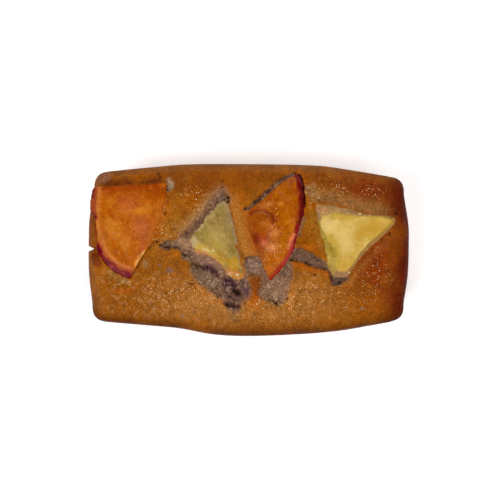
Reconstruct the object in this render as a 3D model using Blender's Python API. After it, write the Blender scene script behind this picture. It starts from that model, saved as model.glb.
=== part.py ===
"""A bar-shaped financier cake with two plum slices and two pineapple pieces baked into its top.

Units are metres and +Z is up. The origin is on the table under the middle of the cake, +X runs
along the cake and +Y across it. The cake starts as a flat grid whose border is drawn down the
sides ring by ring, and each piece of fruit is a turned disc drawn out to its own outline.
"""
import math

import bmesh
import bpy
from mathutils import Vector, noise

# Size of the whole cake
LENGTH = 0.0900
WIDTH = 0.0483
HALF_LENGTH = LENGTH / 2
HALF_WIDTH = WIDTH / 2
RIM_HEIGHT = 0.0166
SHOULDER_RISE = 0.0030
DOME_RISE = 0.0032

# The rounded border: its width, and how square its corners are in plan
BORDER = 0.0055
CORNER_SQUARENESS = 2.7
BORDER_STEPS = (0.0, 0.0003, 0.0009, 0.0019, 0.0035)
CELL = 0.00135

# The side below the rim, as (inset from the rim, height)
SIDE_RINGS = (
    (0.0003, 0.0150),
    (0.0011, 0.0133),
    (0.0014, 0.0118),
    (0.0032, 0.0016),
    (0.0036, 0.0004),
    (0.0042, 0.0),
)

# The edges in plan: (along the cake, across it) for the long edges, (across, along) for the ends
BACK_EDGE = (
    (-0.0410, 0.0216),
    (-0.0290, 0.0230),
    (-0.0180, 0.02405),
    (0.0, 0.02415),
    (0.0200, 0.0236),
    (0.0300, 0.0223),
    (0.0410, 0.0203),
)
FRONT_EDGE = (
    (-0.0410, 0.0199),
    (-0.0300, 0.0207),
    (-0.0200, 0.0217),
    (-0.0110, 0.0234),
    (-0.0030, 0.02415),
    (0.0040, 0.0240),
    (0.0140, 0.0233),
    (0.0270, 0.0223),
    (0.0360, 0.0208),
    (0.0420, 0.0198),
)
LEFT_END = ((-0.0180, 0.0437), (-0.0067, 0.0448), (0.0040, 0.0450), (0.0100, 0.0447), (0.0180, 0.0434))
RIGHT_END = ((-0.0180, 0.0431), (-0.0067, 0.0444), (0.0020, 0.0450), (0.0080, 0.0447), (0.0180, 0.0434))

# Slow unevenness of the baked top
WAVE_HEIGHT = 0.00035
WAVE_LENGTH = 0.012

# Torn hollows where the crumb shows: outline, depth, and the width of the slope at the edge
HOLLOWS = (
    (
        ((-0.0246, 0.0014), (-0.0222, 0.0008), (-0.0190, -0.0006), (-0.0168, -0.0024), (-0.0150, -0.0016),
         (-0.0158, 0.0014), (-0.0190, 0.0032), (-0.0215, 0.0030), (-0.0240, 0.0026)),
        0.0015, 0.0012,
    ),
    (
        ((-0.0180, -0.0026), (-0.0168, -0.0066), (-0.0135, -0.0086), (-0.0090, -0.0125), (-0.0068, -0.0150),
         (-0.0048, -0.0174), (-0.0024, -0.0168), (-0.0010, -0.0138), (0.0006, -0.0114), (-0.0004, -0.0078),
         (-0.0030, -0.0080), (-0.0060, -0.0064), (-0.0090, -0.0030), (-0.0140, -0.0014)),
        0.0017, 0.0016,
    ),
    (
        ((-0.0012, -0.0026), (-0.0008, -0.0068), (0.0014, -0.0072), (0.0040, -0.0072), (0.0034, -0.0092),
         (0.0028, -0.0120), (0.0046, -0.0138), (0.0082, -0.0150), (0.0102, -0.0134), (0.0110, -0.0098),
         (0.0122, -0.0056), (0.0114, -0.0030), (0.0070, -0.0060), (0.0040, -0.0030), (0.0016, -0.0015)),
        0.0014, 0.0014,
    ),
    (
        ((0.0114, -0.0026), (0.0145, -0.0030), (0.0180, -0.0046), (0.0220, -0.0054), (0.0230, -0.0096),
         (0.0250, -0.0102), (0.0280, -0.0076), (0.0240, -0.0060), (0.0222, -0.0040), (0.0180, -0.0013),
         (0.0150, 0.0004), (0.0126, -0.0002)),
        0.0015, 0.0012,
    ),
    (
        ((-0.0192, 0.0034), (-0.0160, 0.0032), (-0.0120, 0.0086), (-0.0082, 0.0126), (-0.0056, 0.0128),
         (-0.0058, 0.0150), (-0.0078, 0.0172), (-0.0108, 0.0130), (-0.0150, 0.0078)),
        0.0011, 0.0012,
    ),
    (
        ((-0.0012, 0.0112), (0.0004, 0.0110), (0.0040, 0.0140), (0.0080, 0.0178), (0.0124, 0.0208),
         (0.0110, 0.0213), (0.0070, 0.0189), (0.0030, 0.0153)),
        0.0011, 0.0010,
    ),
)

# The crust swells beside the fruit: height and reach of the swelling
SWELL_HEIGHT = 0.0004
SWELL_REACH = 0.0045

# Each piece of fruit: outline seen from above, height of its top over the crust, thickness at the
# middle, extra height of the middle, and its colour
FRUIT = (
    dict(
        name="plum_slice_left",
        outline=(
            (-0.0231, 0.0187), (-0.0270, 0.0185), (-0.0330, 0.0181), (-0.0390, 0.0177), (-0.0430, 0.0175),
            (-0.0440, 0.0158), (-0.0444, 0.0132), (-0.0444, 0.0108), (-0.0431, 0.0092), (-0.0423, 0.0060),
            (-0.0421, 0.0028), (-0.0425, 0.0002), (-0.0413, -0.0022), (-0.0384, -0.0051), (-0.0358, -0.0069),
            (-0.0333, -0.0078), (-0.0319, -0.0058), (-0.0299, -0.0022), (-0.0273, 0.0015), (-0.0254, 0.0060),
            (-0.0237, 0.0105), (-0.0232, 0.0145),
        ),
        lift=0.0005, thickness=0.0030, crown=0.0001, colour=(0.47, 0.13, 0.012),
    ),
    dict(
        name="pineapple_piece_left",
        outline=(
            (-0.0064, 0.0134), (-0.0081, 0.0130), (-0.0108, 0.0102), (-0.0140, 0.0066), (-0.0165, 0.0036),
            (-0.0160, 0.0010), (-0.0154, -0.0012), (-0.0122, -0.0014), (-0.0092, -0.0029), (-0.0067, -0.0056),
            (-0.0052, -0.0078), (-0.0030, -0.0087), (-0.0012, -0.0077), (-0.0012, -0.0050),
            (-0.0023, -0.0005), (-0.0038, 0.0050), (-0.0050, 0.0105),
        ),
        lift=-0.0005, thickness=0.0030, crown=0.0002, colour=(0.36, 0.25, 0.055),
    ),
    dict(
        name="plum_slice_right",
        outline=(
            (0.0146, 0.0212), (0.0128, 0.0208), (0.0098, 0.0192), (0.0068, 0.0170), (0.0035, 0.0139),
            (0.0004, 0.0113), (-0.0004, 0.0088), (0.0003, 0.0050), (0.0016, 0.0008), (0.0036, -0.0036),
            (0.0053, -0.0072), (0.0065, -0.0084), (0.0082, -0.0070), (0.0104, -0.0044), (0.0122, -0.0010),
            (0.0133, 0.0028), (0.0146, 0.0070), (0.0158, 0.0108), (0.0160, 0.0148), (0.0155, 0.0190),
        ),
        lift=0.0003, thickness=0.0032, crown=0.0003, colour=(0.44, 0.13, 0.010),
    ),
    dict(
        name="pineapple_piece_right",
        outline=(
            (0.0192, 0.0134), (0.0181, 0.0124), (0.0184, 0.0095), (0.0196, 0.0045), (0.0209, -0.0005),
            (0.0222, -0.0045), (0.0236, -0.0076), (0.0255, -0.0081), (0.0276, -0.0071), (0.0308, -0.0030),
            (0.0348, 0.0010), (0.0386, 0.0048), (0.0409, 0.0076), (0.0404, 0.0093), (0.0366, 0.0099),
            (0.0322, 0.0102), (0.0280, 0.0119), (0.0235, 0.0129),
        ),
        lift=0.0001, thickness=0.0036, crown=0.0006, colour=(0.60, 0.42, 0.10),
    ),
)

# A piece of fruit from the middle of its top to the middle of its base, as shares of its reach
# and of its thickness
PIECE_PROFILE = (
    (0.0, 1.0), (0.45, 1.0), (0.80, 0.99), (0.94, 0.93), (1.0, 0.74),
    (1.0, 0.24), (0.93, 0.05), (0.75, 0.0), (0.0, 0.0),
)
POINTS_PER_SIDE = 2

# How far into the border fruit bends down with the crust before it stays level
FRUIT_BEND = 0.0042

# The pocket round a piece of fruit
POCKET_GAP = 0.0003
POCKET_TOP = 0.0045

CRUST_COLOUR = (0.33, 0.12, 0.018)
CRUST_ROUGHNESS = 0.55
FRUIT_ROUGHNESS = 0.32


def smooth_step(share):
    """A share of 0 to 1, eased at both ends."""
    share = min(max(share, 0.0), 1.0)
    return share * share * (3.0 - 2.0 * share)


def hermite(start, end, slope_in, slope_out, share):
    """A value on the cubic from start to end with the given changes over its whole span."""
    back = 1.0 - share
    return (
        back * back * (1.0 + 2.0 * share) * start
        + share * share * (3.0 - 2.0 * share) * end
        + share * back * (back * slope_in - share * slope_out)
    )


def curve_height(points, place):
    """The height at a place of the smooth open curve through (place, height) points."""
    last = len(points) - 1
    place = min(max(place, points[0][0]), points[last][0])
    start = max(index for index in range(last) if points[index][0] <= place)
    before = max(start - 1, 0)
    after = min(start + 2, last)
    span = points[start + 1][0] - points[start][0]
    slope_in = (points[start + 1][1] - points[before][1]) / (points[start + 1][0] - points[before][0])
    slope_out = (points[after][1] - points[start][1]) / (points[after][0] - points[start][0])
    share = (place - points[start][0]) / span
    return hermite(points[start][1], points[start + 1][1], slope_in * span, slope_out * span, share)


def smooth_outline(points):
    """The closed outline through the points, with points added between them on a smooth curve."""
    corners = [Vector(point) for point in points]
    count = len(corners)
    outline = []
    for index, corner in enumerate(corners):
        following = corners[(index + 1) % count]
        slope_in = (following - corners[index - 1]) / 2
        slope_out = (corners[(index + 2) % count] - corner) / 2
        for step in range(POINTS_PER_SIDE):
            outline.append(hermite(corner, following, slope_in, slope_out, step / POINTS_PER_SIDE))
    return outline


def grown_outline(outline, gap):
    """The outline moved out by the gap, with its corners carried on to meet."""
    grown = []
    for index, corner in enumerate(outline):
        before = (corner - outline[index - 1]).normalized()
        after = (outline[(index + 1) % len(outline)] - corner).normalized()
        outward = (before + after).normalized()
        outward = Vector((outward.y, -outward.x))
        lean = max(outward.dot(Vector((after.y, -after.x))), 0.5)
        grown.append(corner + outward * gap / lean)
    return grown


def inside_distance(x, y, outline):
    """How far a place lies inside a closed outline; below zero outside it."""
    place = Vector((x, y))
    nearest = math.inf
    inside = False
    for start, end in zip(outline, [*outline[1:], outline[0]]):
        start = Vector(start)
        side = Vector(end) - start
        share = min(max((place - start).dot(side) / side.length_squared, 0.0), 1.0)
        nearest = min(nearest, (place - start - side * share).length)
        if (start.y > y) != (start.y + side.y > y):
            crossing = start.x + side.x * (y - start.y) / side.y
            inside = inside != (x < crossing)
    return nearest if inside else -nearest


def edges_at(x, y):
    """Half the length and half the width of the cake on the side of the middle where a place lies."""
    half_length = curve_height(RIGHT_END if x > 0 else LEFT_END, y)
    half_width = curve_height(BACK_EDGE if y > 0 else FRONT_EDGE, x)
    return half_length, half_width


def border_reach(x, y):
    """How a place lies in the border of the plain bar: its nearest inner place, and the way out."""
    inner = Vector((
        min(max(x, BORDER - HALF_LENGTH), HALF_LENGTH - BORDER),
        min(max(y, BORDER - HALF_WIDTH), HALF_WIDTH - BORDER),
    ))
    return inner, Vector((x, y)) - inner


def rounded_length(way):
    """The length of a way out as the rounded corners count it."""
    power = CORNER_SQUARENESS
    return (abs(way.x) ** power + abs(way.y) ** power) ** (1.0 / power)


def smooth_top(x, y, reach):
    """The height of the top without relief, at a place of the plain bar and its reach into the border."""
    share = min(reach / BORDER, 1.0)
    shoulder = SHOULDER_RISE * math.sqrt(1.0 - share * share)
    along = x / HALF_LENGTH
    across = y / HALF_WIDTH
    dome = DOME_RISE * (1.0 - along * along) * (1.0 - across * across)
    return RIM_HEIGHT + shoulder + dome


def fruit_bed(x, y):
    """The height that fruit follows over a real place: the smooth top, but stiffer over the rim."""
    half_length, half_width = edges_at(x, y)
    x *= HALF_LENGTH / half_length
    y *= HALF_WIDTH / half_width
    reach = rounded_length(border_reach(x, y)[1])
    return smooth_top(x, y, min(reach, FRUIT_BEND))


def relief(x, y, outlines):
    """How far the crust stands over its smooth top: waves, swellings by the fruit, torn hollows."""
    rise = WAVE_HEIGHT * noise.noise(Vector((x, y, 0.0)) / WAVE_LENGTH)
    from_fruit = min(-inside_distance(x, y, outline) for outline in outlines)
    swell = min(max(from_fruit / SWELL_REACH, 0.0), 1.0)
    rise += SWELL_HEIGHT * math.sin(math.pi * math.sqrt(swell))
    for outline, depth, slope in HOLLOWS:
        rise -= depth * smooth_step(0.5 + inside_distance(x, y, outline) / slope)
    return rise


def cake_point(flat, outlines):
    """The point of the cake for a point of the flat pattern, whose z counts rings down the side."""
    inner, way = border_reach(flat.x, flat.y)
    reach = max(abs(way.x), abs(way.y))
    if reach > 0.0:
        way *= reach / rounded_length(way)
    plain = inner + way
    half_length, half_width = edges_at(flat.x, flat.y)
    x = plain.x * half_length / HALF_LENGTH
    y = plain.y * half_width / HALF_WIDTH
    ring = round(-flat.z)
    if ring > 0:
        inset, height = SIDE_RINGS[ring - 1]
        return Vector((x * (1.0 - inset / HALF_LENGTH), y * (1.0 - inset / HALF_WIDTH), height))
    held = smooth_step(1.0 - reach / BORDER)
    return Vector((x, y, smooth_top(plain.x, plain.y, reach) + held * relief(x, y, outlines)))


def stations(half):
    """Where the grid's lines run across one direction of the bar: close together in the border."""
    border = [half - step for step in BORDER_STEPS]
    middle = half - BORDER
    count = round(2 * middle / CELL)
    return [-place for place in border] + [
        middle * (2 * index / count - 1.0) for index in range(count + 1)
    ] + border[::-1]


def new_material(name, colour, roughness):
    """A plain shiny or dull material of one colour."""
    material = bpy.data.materials.new(name)
    material.use_nodes = True
    shader = material.node_tree.nodes["Principled BSDF"]
    shader.inputs["Base Color"].default_value = (*colour, 1.0)
    shader.inputs["Roughness"].default_value = roughness
    shader.inputs["Metallic"].default_value = 0.0
    material.diffuse_color = (*colour, 1.0)
    return material


def new_object(name, shape, location, collection, material=None):
    """An object of the given mesh shape, shaded smooth, in a collection."""
    mesh = bpy.data.meshes.new(name)
    shape.to_mesh(mesh)
    shape.free()
    mesh.shade_smooth()
    mesh.set_sharp_from_angle(angle=math.radians(50))
    if material:
        mesh.materials.append(material)
    piece = bpy.data.objects.new(name, mesh)
    piece.location = location
    collection.objects.link(piece)
    return piece


def turned_disc(profile, outline, centre, height_at):
    """The profile turned once, drawn out to the outline, each point set over its place on the cake."""
    shape = bmesh.new()
    points = [shape.verts.new((share, 0.0, height)) for share, height in profile]
    sides = [shape.edges.new(pair) for pair in zip(points, points[1:])]
    bmesh.ops.spin(
        shape, geom=points + sides, axis=(0, 0, 1), cent=(0, 0, 0),
        steps=len(outline), angle=2 * math.pi, use_merge=True,
    )
    bmesh.ops.remove_doubles(shape, verts=shape.verts, dist=0.0001)
    bmesh.ops.recalc_face_normals(shape, faces=shape.faces)
    for point in shape.verts:
        share = math.hypot(point.co.x, point.co.y)
        turn = math.atan2(point.co.y, point.co.x) / (2 * math.pi)
        way = (outline[round(turn * len(outline)) % len(outline)] - centre) * share
        place = centre + way
        point.co = Vector((way.x, way.y, height_at(place, share, point.co.z)))
    return shape


def middle_of(outline):
    """The middle of the box round an outline."""
    return Vector((
        (min(point.x for point in outline) + max(point.x for point in outline)) / 2,
        (min(point.y for point in outline) + max(point.y for point in outline)) / 2,
    ))


def make_piece(fruit, outline, collection):
    """One piece of fruit, lying along the top of the cake."""
    def height_at(place, share, level):
        crown = fruit["crown"] * (1.0 - share * share) * level
        base = fruit["lift"] - fruit["thickness"] * (1.0 - level)
        return fruit_bed(*place) + base + crown

    centre = middle_of(outline)
    shape = turned_disc(PIECE_PROFILE, outline, centre, height_at)
    material = new_material(fruit["name"] + "_flesh", fruit["colour"], FRUIT_ROUGHNESS)
    return new_object(fruit["name"], shape, (*centre, 0.0), collection, material)


def make_pocket_cutter(fruit, outline, collection):
    """The shape that cuts a piece's pocket: its outline and its base, each with the gap round them."""
    def height_at(place, share, level):
        low = fruit["lift"] - fruit["thickness"] - POCKET_GAP
        return fruit_bed(*place) + low + (POCKET_TOP - low) * level

    profile = ((0.0, 1.0), (0.5, 1.0), (1.0, 1.0), (1.0, 0.0), (0.75, 0.0), (0.4, 0.0), (0.0, 0.0))
    centre = middle_of(outline)
    shape = turned_disc(profile, grown_outline(outline, POCKET_GAP), centre, height_at)
    cutter = new_object(fruit["name"] + "_pocket", shape, (*centre, 0.0), collection)
    cutter.hide_render = True
    cutter.display_type = "WIRE"
    return cutter


def make_cake(outlines, cutters, collection):
    """The baked cake, with a pocket for each piece of fruit."""
    lines_along = stations(HALF_LENGTH)
    lines_across = stations(HALF_WIDTH)
    shape = bmesh.new()
    bmesh.ops.create_grid(
        shape, x_segments=len(lines_along) - 1, y_segments=len(lines_across) - 1, size=1.0
    )
    for point in shape.verts:
        along = round((point.co.x + 1.0) / 2 * (len(lines_along) - 1))
        across = round((point.co.y + 1.0) / 2 * (len(lines_across) - 1))
        point.co = Vector((lines_along[along], lines_across[across], 0.0))
    border = [side for side in shape.edges if side.is_boundary]
    for _ in SIDE_RINGS:
        ring = bmesh.ops.extrude_edge_only(shape, edges=border)["geom"]
        bmesh.ops.translate(
            shape, vec=(0, 0, -1), verts=[part for part in ring if isinstance(part, bmesh.types.BMVert)]
        )
        border = [part for part in ring if isinstance(part, bmesh.types.BMEdge)]
    bmesh.ops.contextual_create(shape, geom=border)
    bmesh.ops.recalc_face_normals(shape, faces=shape.faces)
    for point in shape.verts:
        point.co = cake_point(point.co, outlines)
    material = new_material("baked_crust", CRUST_COLOUR, CRUST_ROUGHNESS)
    cake = new_object("cake_body", shape, (0, 0, 0), collection, material)
    for cutter in cutters:
        cut = cake.modifiers.new(cutter.name, "BOOLEAN")
        cut.operation = "DIFFERENCE"
        cut.solver = "EXACT"
        cut.object = cutter
    return cake


def new_collection(name):
    """A collection in the scene."""
    collection = bpy.data.collections.new(name)
    bpy.context.scene.collection.children.link(collection)
    return collection


def main():
    """Builds the cake and its fruit in an emptied scene."""
    for leftover in list(bpy.data.objects):
        bpy.data.objects.remove(leftover, do_unlink=True)
    cake_parts = new_collection("financier_cake")
    cutting_shapes = new_collection("cutting_shapes")
    outlines = [smooth_outline(fruit["outline"]) for fruit in FRUIT]
    cutters = []
    for fruit, outline in zip(FRUIT, outlines):
        make_piece(fruit, outline, cake_parts)
        cutters.append(make_pocket_cutter(fruit, outline, cutting_shapes))
    make_cake(outlines, cutters, cake_parts)


main()
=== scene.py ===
"""A bar-shaped financier cake, seen from above: crust, torn crumb, plum slices and pineapple pieces.

Meshes are in metres. Places and sizes on the cake are written in millimetres, with +X along the
cake and +Y across it, and become metres when a mesh takes them. Colours are written as 0 to 255.
"""
import math

import bmesh
import bpy
import numpy as np
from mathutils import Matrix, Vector, noise


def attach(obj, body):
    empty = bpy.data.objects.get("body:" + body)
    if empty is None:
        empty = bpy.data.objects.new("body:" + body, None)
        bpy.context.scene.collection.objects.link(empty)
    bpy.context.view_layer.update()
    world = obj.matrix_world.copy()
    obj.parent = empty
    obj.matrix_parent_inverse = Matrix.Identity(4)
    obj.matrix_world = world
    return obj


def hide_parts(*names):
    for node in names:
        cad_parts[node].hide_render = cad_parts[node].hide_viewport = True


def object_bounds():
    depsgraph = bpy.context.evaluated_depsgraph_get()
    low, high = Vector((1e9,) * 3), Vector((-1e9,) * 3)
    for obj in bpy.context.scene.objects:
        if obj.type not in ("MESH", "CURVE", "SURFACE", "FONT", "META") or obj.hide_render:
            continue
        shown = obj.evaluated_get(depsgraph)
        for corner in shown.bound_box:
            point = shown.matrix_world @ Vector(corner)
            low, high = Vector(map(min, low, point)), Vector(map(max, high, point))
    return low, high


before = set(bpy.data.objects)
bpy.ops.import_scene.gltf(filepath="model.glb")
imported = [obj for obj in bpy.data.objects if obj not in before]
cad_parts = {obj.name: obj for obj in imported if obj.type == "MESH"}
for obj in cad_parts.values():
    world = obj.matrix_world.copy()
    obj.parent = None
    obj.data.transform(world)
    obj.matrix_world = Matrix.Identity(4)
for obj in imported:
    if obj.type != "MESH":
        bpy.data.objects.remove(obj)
cad_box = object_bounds()

MM = 0.001

# The top stays this far under the highest point of the solids, and is drawn in over this height
CLEARANCE = 0.03
DRAWN_IN = 0.4
HIGHEST = cad_box[1].z / MM - CLEARANCE

# Beyond this way outside an outline, distances to it aren't told apart
FAR = 9.0

# The bar: its rim, the rounded border that rises from the rim, and the dome over all of it
HALF_LENGTH = 45.0
HALF_WIDTH = 24.15
RIM_HEIGHT = 16.6
SHOULDER_RISE = 3.0
DOME_RISE = 3.0
BORDER = 5.5
CORNER_SQUARENESS = 2.7

# Fruit follows the rounded border no further out than this
BED_REACH = 4.2

# Half the width along the cake, and half the length across it
BACK_EDGE = (
    (-41, 22.1), (-29, 23.2), (-18, 24.06), (0, 24.14), (20, 23.7), (30, 22.4), (41, 20.6),
)
FRONT_EDGE = (
    (-41, 20.2), (-30, 21.1), (-20, 22), (-11, 23.6), (-4, 24.12), (4, 24.1), (14, 23.7), (20, 23.3),
    (27, 22.6), (36, 21.1), (42, 20.1),
)
LEFT_END = ((-18, 43.9), (-8, 44.85), (4, 44.94), (10, 44.7), (18, 43.4))
RIGHT_END = ((-18, 43.5), (-8, 44.7), (2, 44.96), (8, 44.88), (18, 43.6))

# How far the side lies in from the rim, by height
SIDE_INSETS = (
    (0.0, 4.2), (0.4, 3.6), (1.6, 3.2), (6.5, 2.3), (11.8, 1.4), (13.3, 1.1), (15.0, 0.3), (16.6, 0.0),
)

# The mesh of the bar: grid steps in from the rim, the grid's cells, the heights of its side
# rings and the shares of the base that its last rings keep
BORDER_STEPS = (
    0.0, 0.05, 0.13, 0.24, 0.38, 0.55, 0.76, 1.0, 1.27, 1.55, 1.83, 2.12, 2.41, 2.7, 2.99, 3.28,
    3.57, 3.86, 4.14, 4.42, 4.7, 4.97, 5.24,
)
CELL = 0.265
SIDE_HEIGHTS = (
    16.3, 15.9, 15.4, 14.8, 14.2, 13.6, 13.0, 12.3, 11.6, 10.8, 10.0, 9.1, 8.2, 7.3, 6.3, 5.3, 4.3,
    3.3, 2.4, 1.6, 0.9, 0.4, 0.1, 0.0,
)
BASE_SHARES = (0.95, 0.8, 0.5)

# Outlines of the fruit, each followed by the edge of its flat top
PLUM_LEFT = (
    (-23, 18.7), (-27, 18.5), (-33, 18.1), (-39, 17.8), (-43, 17.6), (-44, 15.8), (-44.4, 13.2),
    (-44.3, 10.8), (-43.1, 9.2), (-42.6, 6), (-42.3, 2.8), (-42.5, 0.2), (-41.3, -2.4), (-38.4, -5.4),
    (-35.8, -7), (-33.1, -7.9), (-32, -6), (-30, -2.4), (-27.3, 1.6), (-25.8, 5.6), (-24.5, 8.8),
    (-23.7, 11.2), (-23.2, 13.6), (-23, 16.2),
)
PLUM_LEFT_FLESH = (
    (-23.2, 18.5), (-27, 18.3), (-33, 17.9), (-39, 17.6), (-42.5, 17.4), (-42.8, 15), (-43, 12.5),
    (-43, 10.6), (-42.8, 8.8), (-42.4, 6), (-41.8, 3), (-41.1, 0.8), (-39.9, -1.7), (-37.5, -4.3),
    (-35, -5.9), (-32.9, -6.6), (-32.1, -5.4), (-30.2, -2.2), (-27.6, 1.8), (-26.1, 5.7),
    (-24.8, 8.9), (-24, 11.3), (-23.5, 13.6), (-23.3, 16.2),
)
PINEAPPLE_LEFT = (
    (-6.4, 13.6), (-8.1, 13.3), (-10.9, 10.9), (-13.8, 7.2), (-16.6, 3.7), (-16.4, 1.4),
    (-15.6, -0.8), (-12.6, -1.3), (-9.4, -2.7), (-7, -5), (-5.7, -7), (-3.2, -8.9), (-1, -7.4),
    (-1.5, -3.5), (-2.6, 0.9), (-3.8, 5.6), (-5, 10.4),
)
PINEAPPLE_LEFT_TOP = (
    (-6.7, 12.8), (-7.9, 12.5), (-10.6, 10.1), (-13.4, 6.8), (-15.9, 3.6), (-15.8, 1.7), (-15, -0.1),
    (-12.2, -0.7), (-9, -2.1), (-6.6, -4.4), (-5.2, -6.5), (-3.2, -8.1), (-1.7, -7), (-2.2, -3.5),
    (-3.3, 0.9), (-4.4, 5.6), (-5.5, 10.2),
)
PLUM_RIGHT = (
    (14.6, 21.2), (12.8, 20.9), (9.8, 19.2), (6.8, 16.9), (3.6, 13.9), (0.5, 11.4), (-0.4, 8.8),
    (0.3, 5), (1.7, 0.8), (3.6, -3.6), (5, -6.9), (6.1, -8.5), (8.4, -6.2), (10.4, -3.7),
    (11.8, -1.4), (12.9, 0.9), (13.6, 4), (14.6, 7.4), (15.8, 10.6), (16, 14), (15.7, 18.2),
)
PLUM_RIGHT_FLESH = (
    (13.3, 20.6), (12.4, 20.4), (9.8, 18.8), (7, 16.5), (3.9, 13.5), (0.9, 11), (0.1, 8.8), (0.8, 5),
    (2.1, 0.9), (4, -3.4), (5.3, -6.6), (6.2, -7.6), (7.7, -5.8), (9.2, -3.4), (10.5, -1),
    (11.6, 1.4), (12.4, 4.2), (13.4, 7.4), (14.2, 10.6), (14.3, 14.4), (13.8, 18.2),
)
PINEAPPLE_RIGHT = (
    (18.8, 13.5), (18, 12.4), (18.5, 9.6), (19.4, 5.6), (20.3, 1.4), (21.3, -2.8), (22.4, -5.8),
    (23.6, -7.5), (26.2, -7.8), (28.2, -6.8), (30.8, -3.4), (34.8, 0.8), (38.6, 4.4), (41, 7.4),
    (40.8, 9.2), (36.6, 10), (32.2, 10.4), (28, 11.9), (23.5, 12.9),
)
PINEAPPLE_RIGHT_TOP = (
    (21.2, 9.2), (20.4, 8.4), (20.2, 7.2), (21, 5), (22.8, 2.9), (24.5, 0.7), (25.1, -1.4),
    (24.4, -3.8), (25, -5.4), (27, -5.6), (28.8, -3.8), (31.3, 0.1), (35.1, 3.6), (38.4, 6.2),
    (40, 8), (36.4, 9.3), (32, 9.2), (28, 9.5), (23.6, 9.6),
)

# Each piece of fruit: how far its flat top stands over the crust, its thickness, how far its edge
# lies below its top, how far inside its outline the crust goes down, how far that wanders, how
# uneven its outline is, its slot, how many points its outline has from corner to corner, and the
# marks that raise or sink its top
FRUIT = {
    "plum_slice_left": dict(
        outline=PLUM_LEFT, top=PLUM_LEFT_FLESH, lift=0.45, thickness=3.0, fall=0.22,
        seat=0.45, wander=0.6, ragged=0.9, slot="plum_flesh", per_side=14,
        relief=((-0.34, "line", ((-23.4, 12.6), (-24.5, 8.8), (-26, 5.5), (-27.4, 2.6)), 3.0, 2.8, 0.8),),
    ),
    "pineapple_piece_left": dict(
        outline=PINEAPPLE_LEFT, top=PINEAPPLE_LEFT_TOP, lift=-0.15, thickness=2.6, fall=0.12,
        seat=0.1, wander=0.7, ragged=1.2, slot="pineapple_flesh", per_side=14,
        relief=(
            (0.34, "line", ((-5.5, 12.6), (-4.5, 8.8), (-3.3, 4), (-2.2, 0.4)), 1.5, 1.2, 0.9),
            (0.22, "spot", (-7.2, 12.6), (1.3, 0.8), 0.0, 0.8),
            (0.20, "line", ((-14.4, -0.6), (-12, -0.9), (-9.2, -2.4), (-6.8, -4.8), (-5.4, -6.8)),
             1.4, 1.0, 1.4),
        ),
    ),
    "plum_slice_right": dict(
        outline=PLUM_RIGHT, top=PLUM_RIGHT_FLESH, lift=0.30, thickness=3.0, fall=0.25,
        seat=0.45, wander=0.5, ragged=0.35, slot="plum_flesh", per_side=14,
        relief=(),
    ),
    "pineapple_piece_right": dict(
        outline=PINEAPPLE_RIGHT, top=PINEAPPLE_RIGHT_TOP, lift=0.50, thickness=3.6, fall=0.70,
        seat=0.35, wander=0.8, ragged=1.0, slot="pineapple_flesh", per_side=16,
        relief=((-0.12, "line", ((29.4, -5.4), (34.8, 0.8), (41, 7.4)), 1.8, 1.6, 1.2),),
    ),
}

# Torn crumb: outline, depth, width of the slope at its edge, softness of its colour's edge
CRUMB = (
    (((-24.8, 1.2), (-22.9, 0.1), (-21.4, 0.4), (-19.6, 0.1), (-18.3, -0.7), (-18.6, -2.4),
     (-17.2, -3.2), (-16.6, -3.6), (-14.6, -4.2), (-13, -0.8), (-14.8, 1.4), (-15.4, 3.6),
     (-18.8, 4.2), (-19.4, 3.2), (-20.7, 2.5), (-22.4, 2.8), (-23.8, 1.9)), 0.6, 0.8, 0.3),
    (((-16, -3.6), (-16.3, -5), (-15.8, -6.6), (-14.9, -8.3), (-12.4, -10.2), (-10.9, -11.9),
     (-9, -12.6), (-7.1, -14), (-6.7, -15.4), (-5.6, -16.8), (-4, -17.5), (-2.4, -16.9), (-1.8, -14.6),
     (-0.1, -13.3), (0.5, -11.2), (0, -9), (-0.4, -7.4), (-1.5, -6), (-6, -4.4), (-9, -2),
     (-14, -0.6)), 0.9, 1.5, 0.65),
    (((-1.3, -2), (-1.5, -4.5), (-0.9, -6.8), (0.8, -7), (2.8, -7.2), (4.4, -7.6), (6, -7), (4.4, -3),
     (2.9, -1.5), (0.8, -1.6)), 0.8, 0.7, 0.25),
    (((3.6, -7.4), (3.7, -9.4), (2.9, -11), (2.7, -12.4), (3.8, -13.5), (5.6, -14.1), (7.8, -15.2),
     (9.4, -15), (10.2, -13.2), (11, -10.4), (12, -8.2), (12.2, -5.2), (11.6, -3), (10, -2), (6, -6)),
     0.7, 1.3, 0.6),
    (((11.2, -2.7), (13, -2.9), (14.5, -3.1), (16, -3.7), (17.5, -4.6), (19, -4.8), (20.5, -5.2),
     (22, -5.6), (23, -8), (23.2, -9.7), (24.5, -10.1), (26, -9.4), (28.2, -7.7), (26, -5.6),
     (22.6, -4), (21, -2.9), (19.4, -2.2), (18, -1.3), (16.5, -0.5), (15, 0.3), (14, 0.6),
     (12.4, 0.2)), 0.9, 0.7, 0.3),
    (((-19, 3.4), (-15.8, 2.2), (-12.9, 6.2), (-10, 9.8), (-7.4, 12), (-5.4, 12.8), (-5.3, 14.7),
     (-6.6, 16.8), (-8.2, 17.1), (-9.9, 15.1), (-11.7, 12.8), (-12.9, 11), (-15, 8.9), (-16.8, 6.7),
     (-18.6, 5.2)), 0.3, 1.4, 1.3),
    (((-1.2, 11.3), (0.6, 10.8), (4, 13.8), (8, 17.6), (12.6, 20.9), (12.4, 21.3), (10.4, 20.7),
     (7, 18.4), (4.6, 16.2), (2.4, 14.1), (0.2, 12.2)), 0.7, 0.6, 0.3),
    (((-23, 19.6), (-22, 20), (-20.9, 18.6), (-21.2, 17.2), (-22.2, 16.3), (-23.2, 16.4)),
     0.2, 0.6, 0.4),
)

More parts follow.
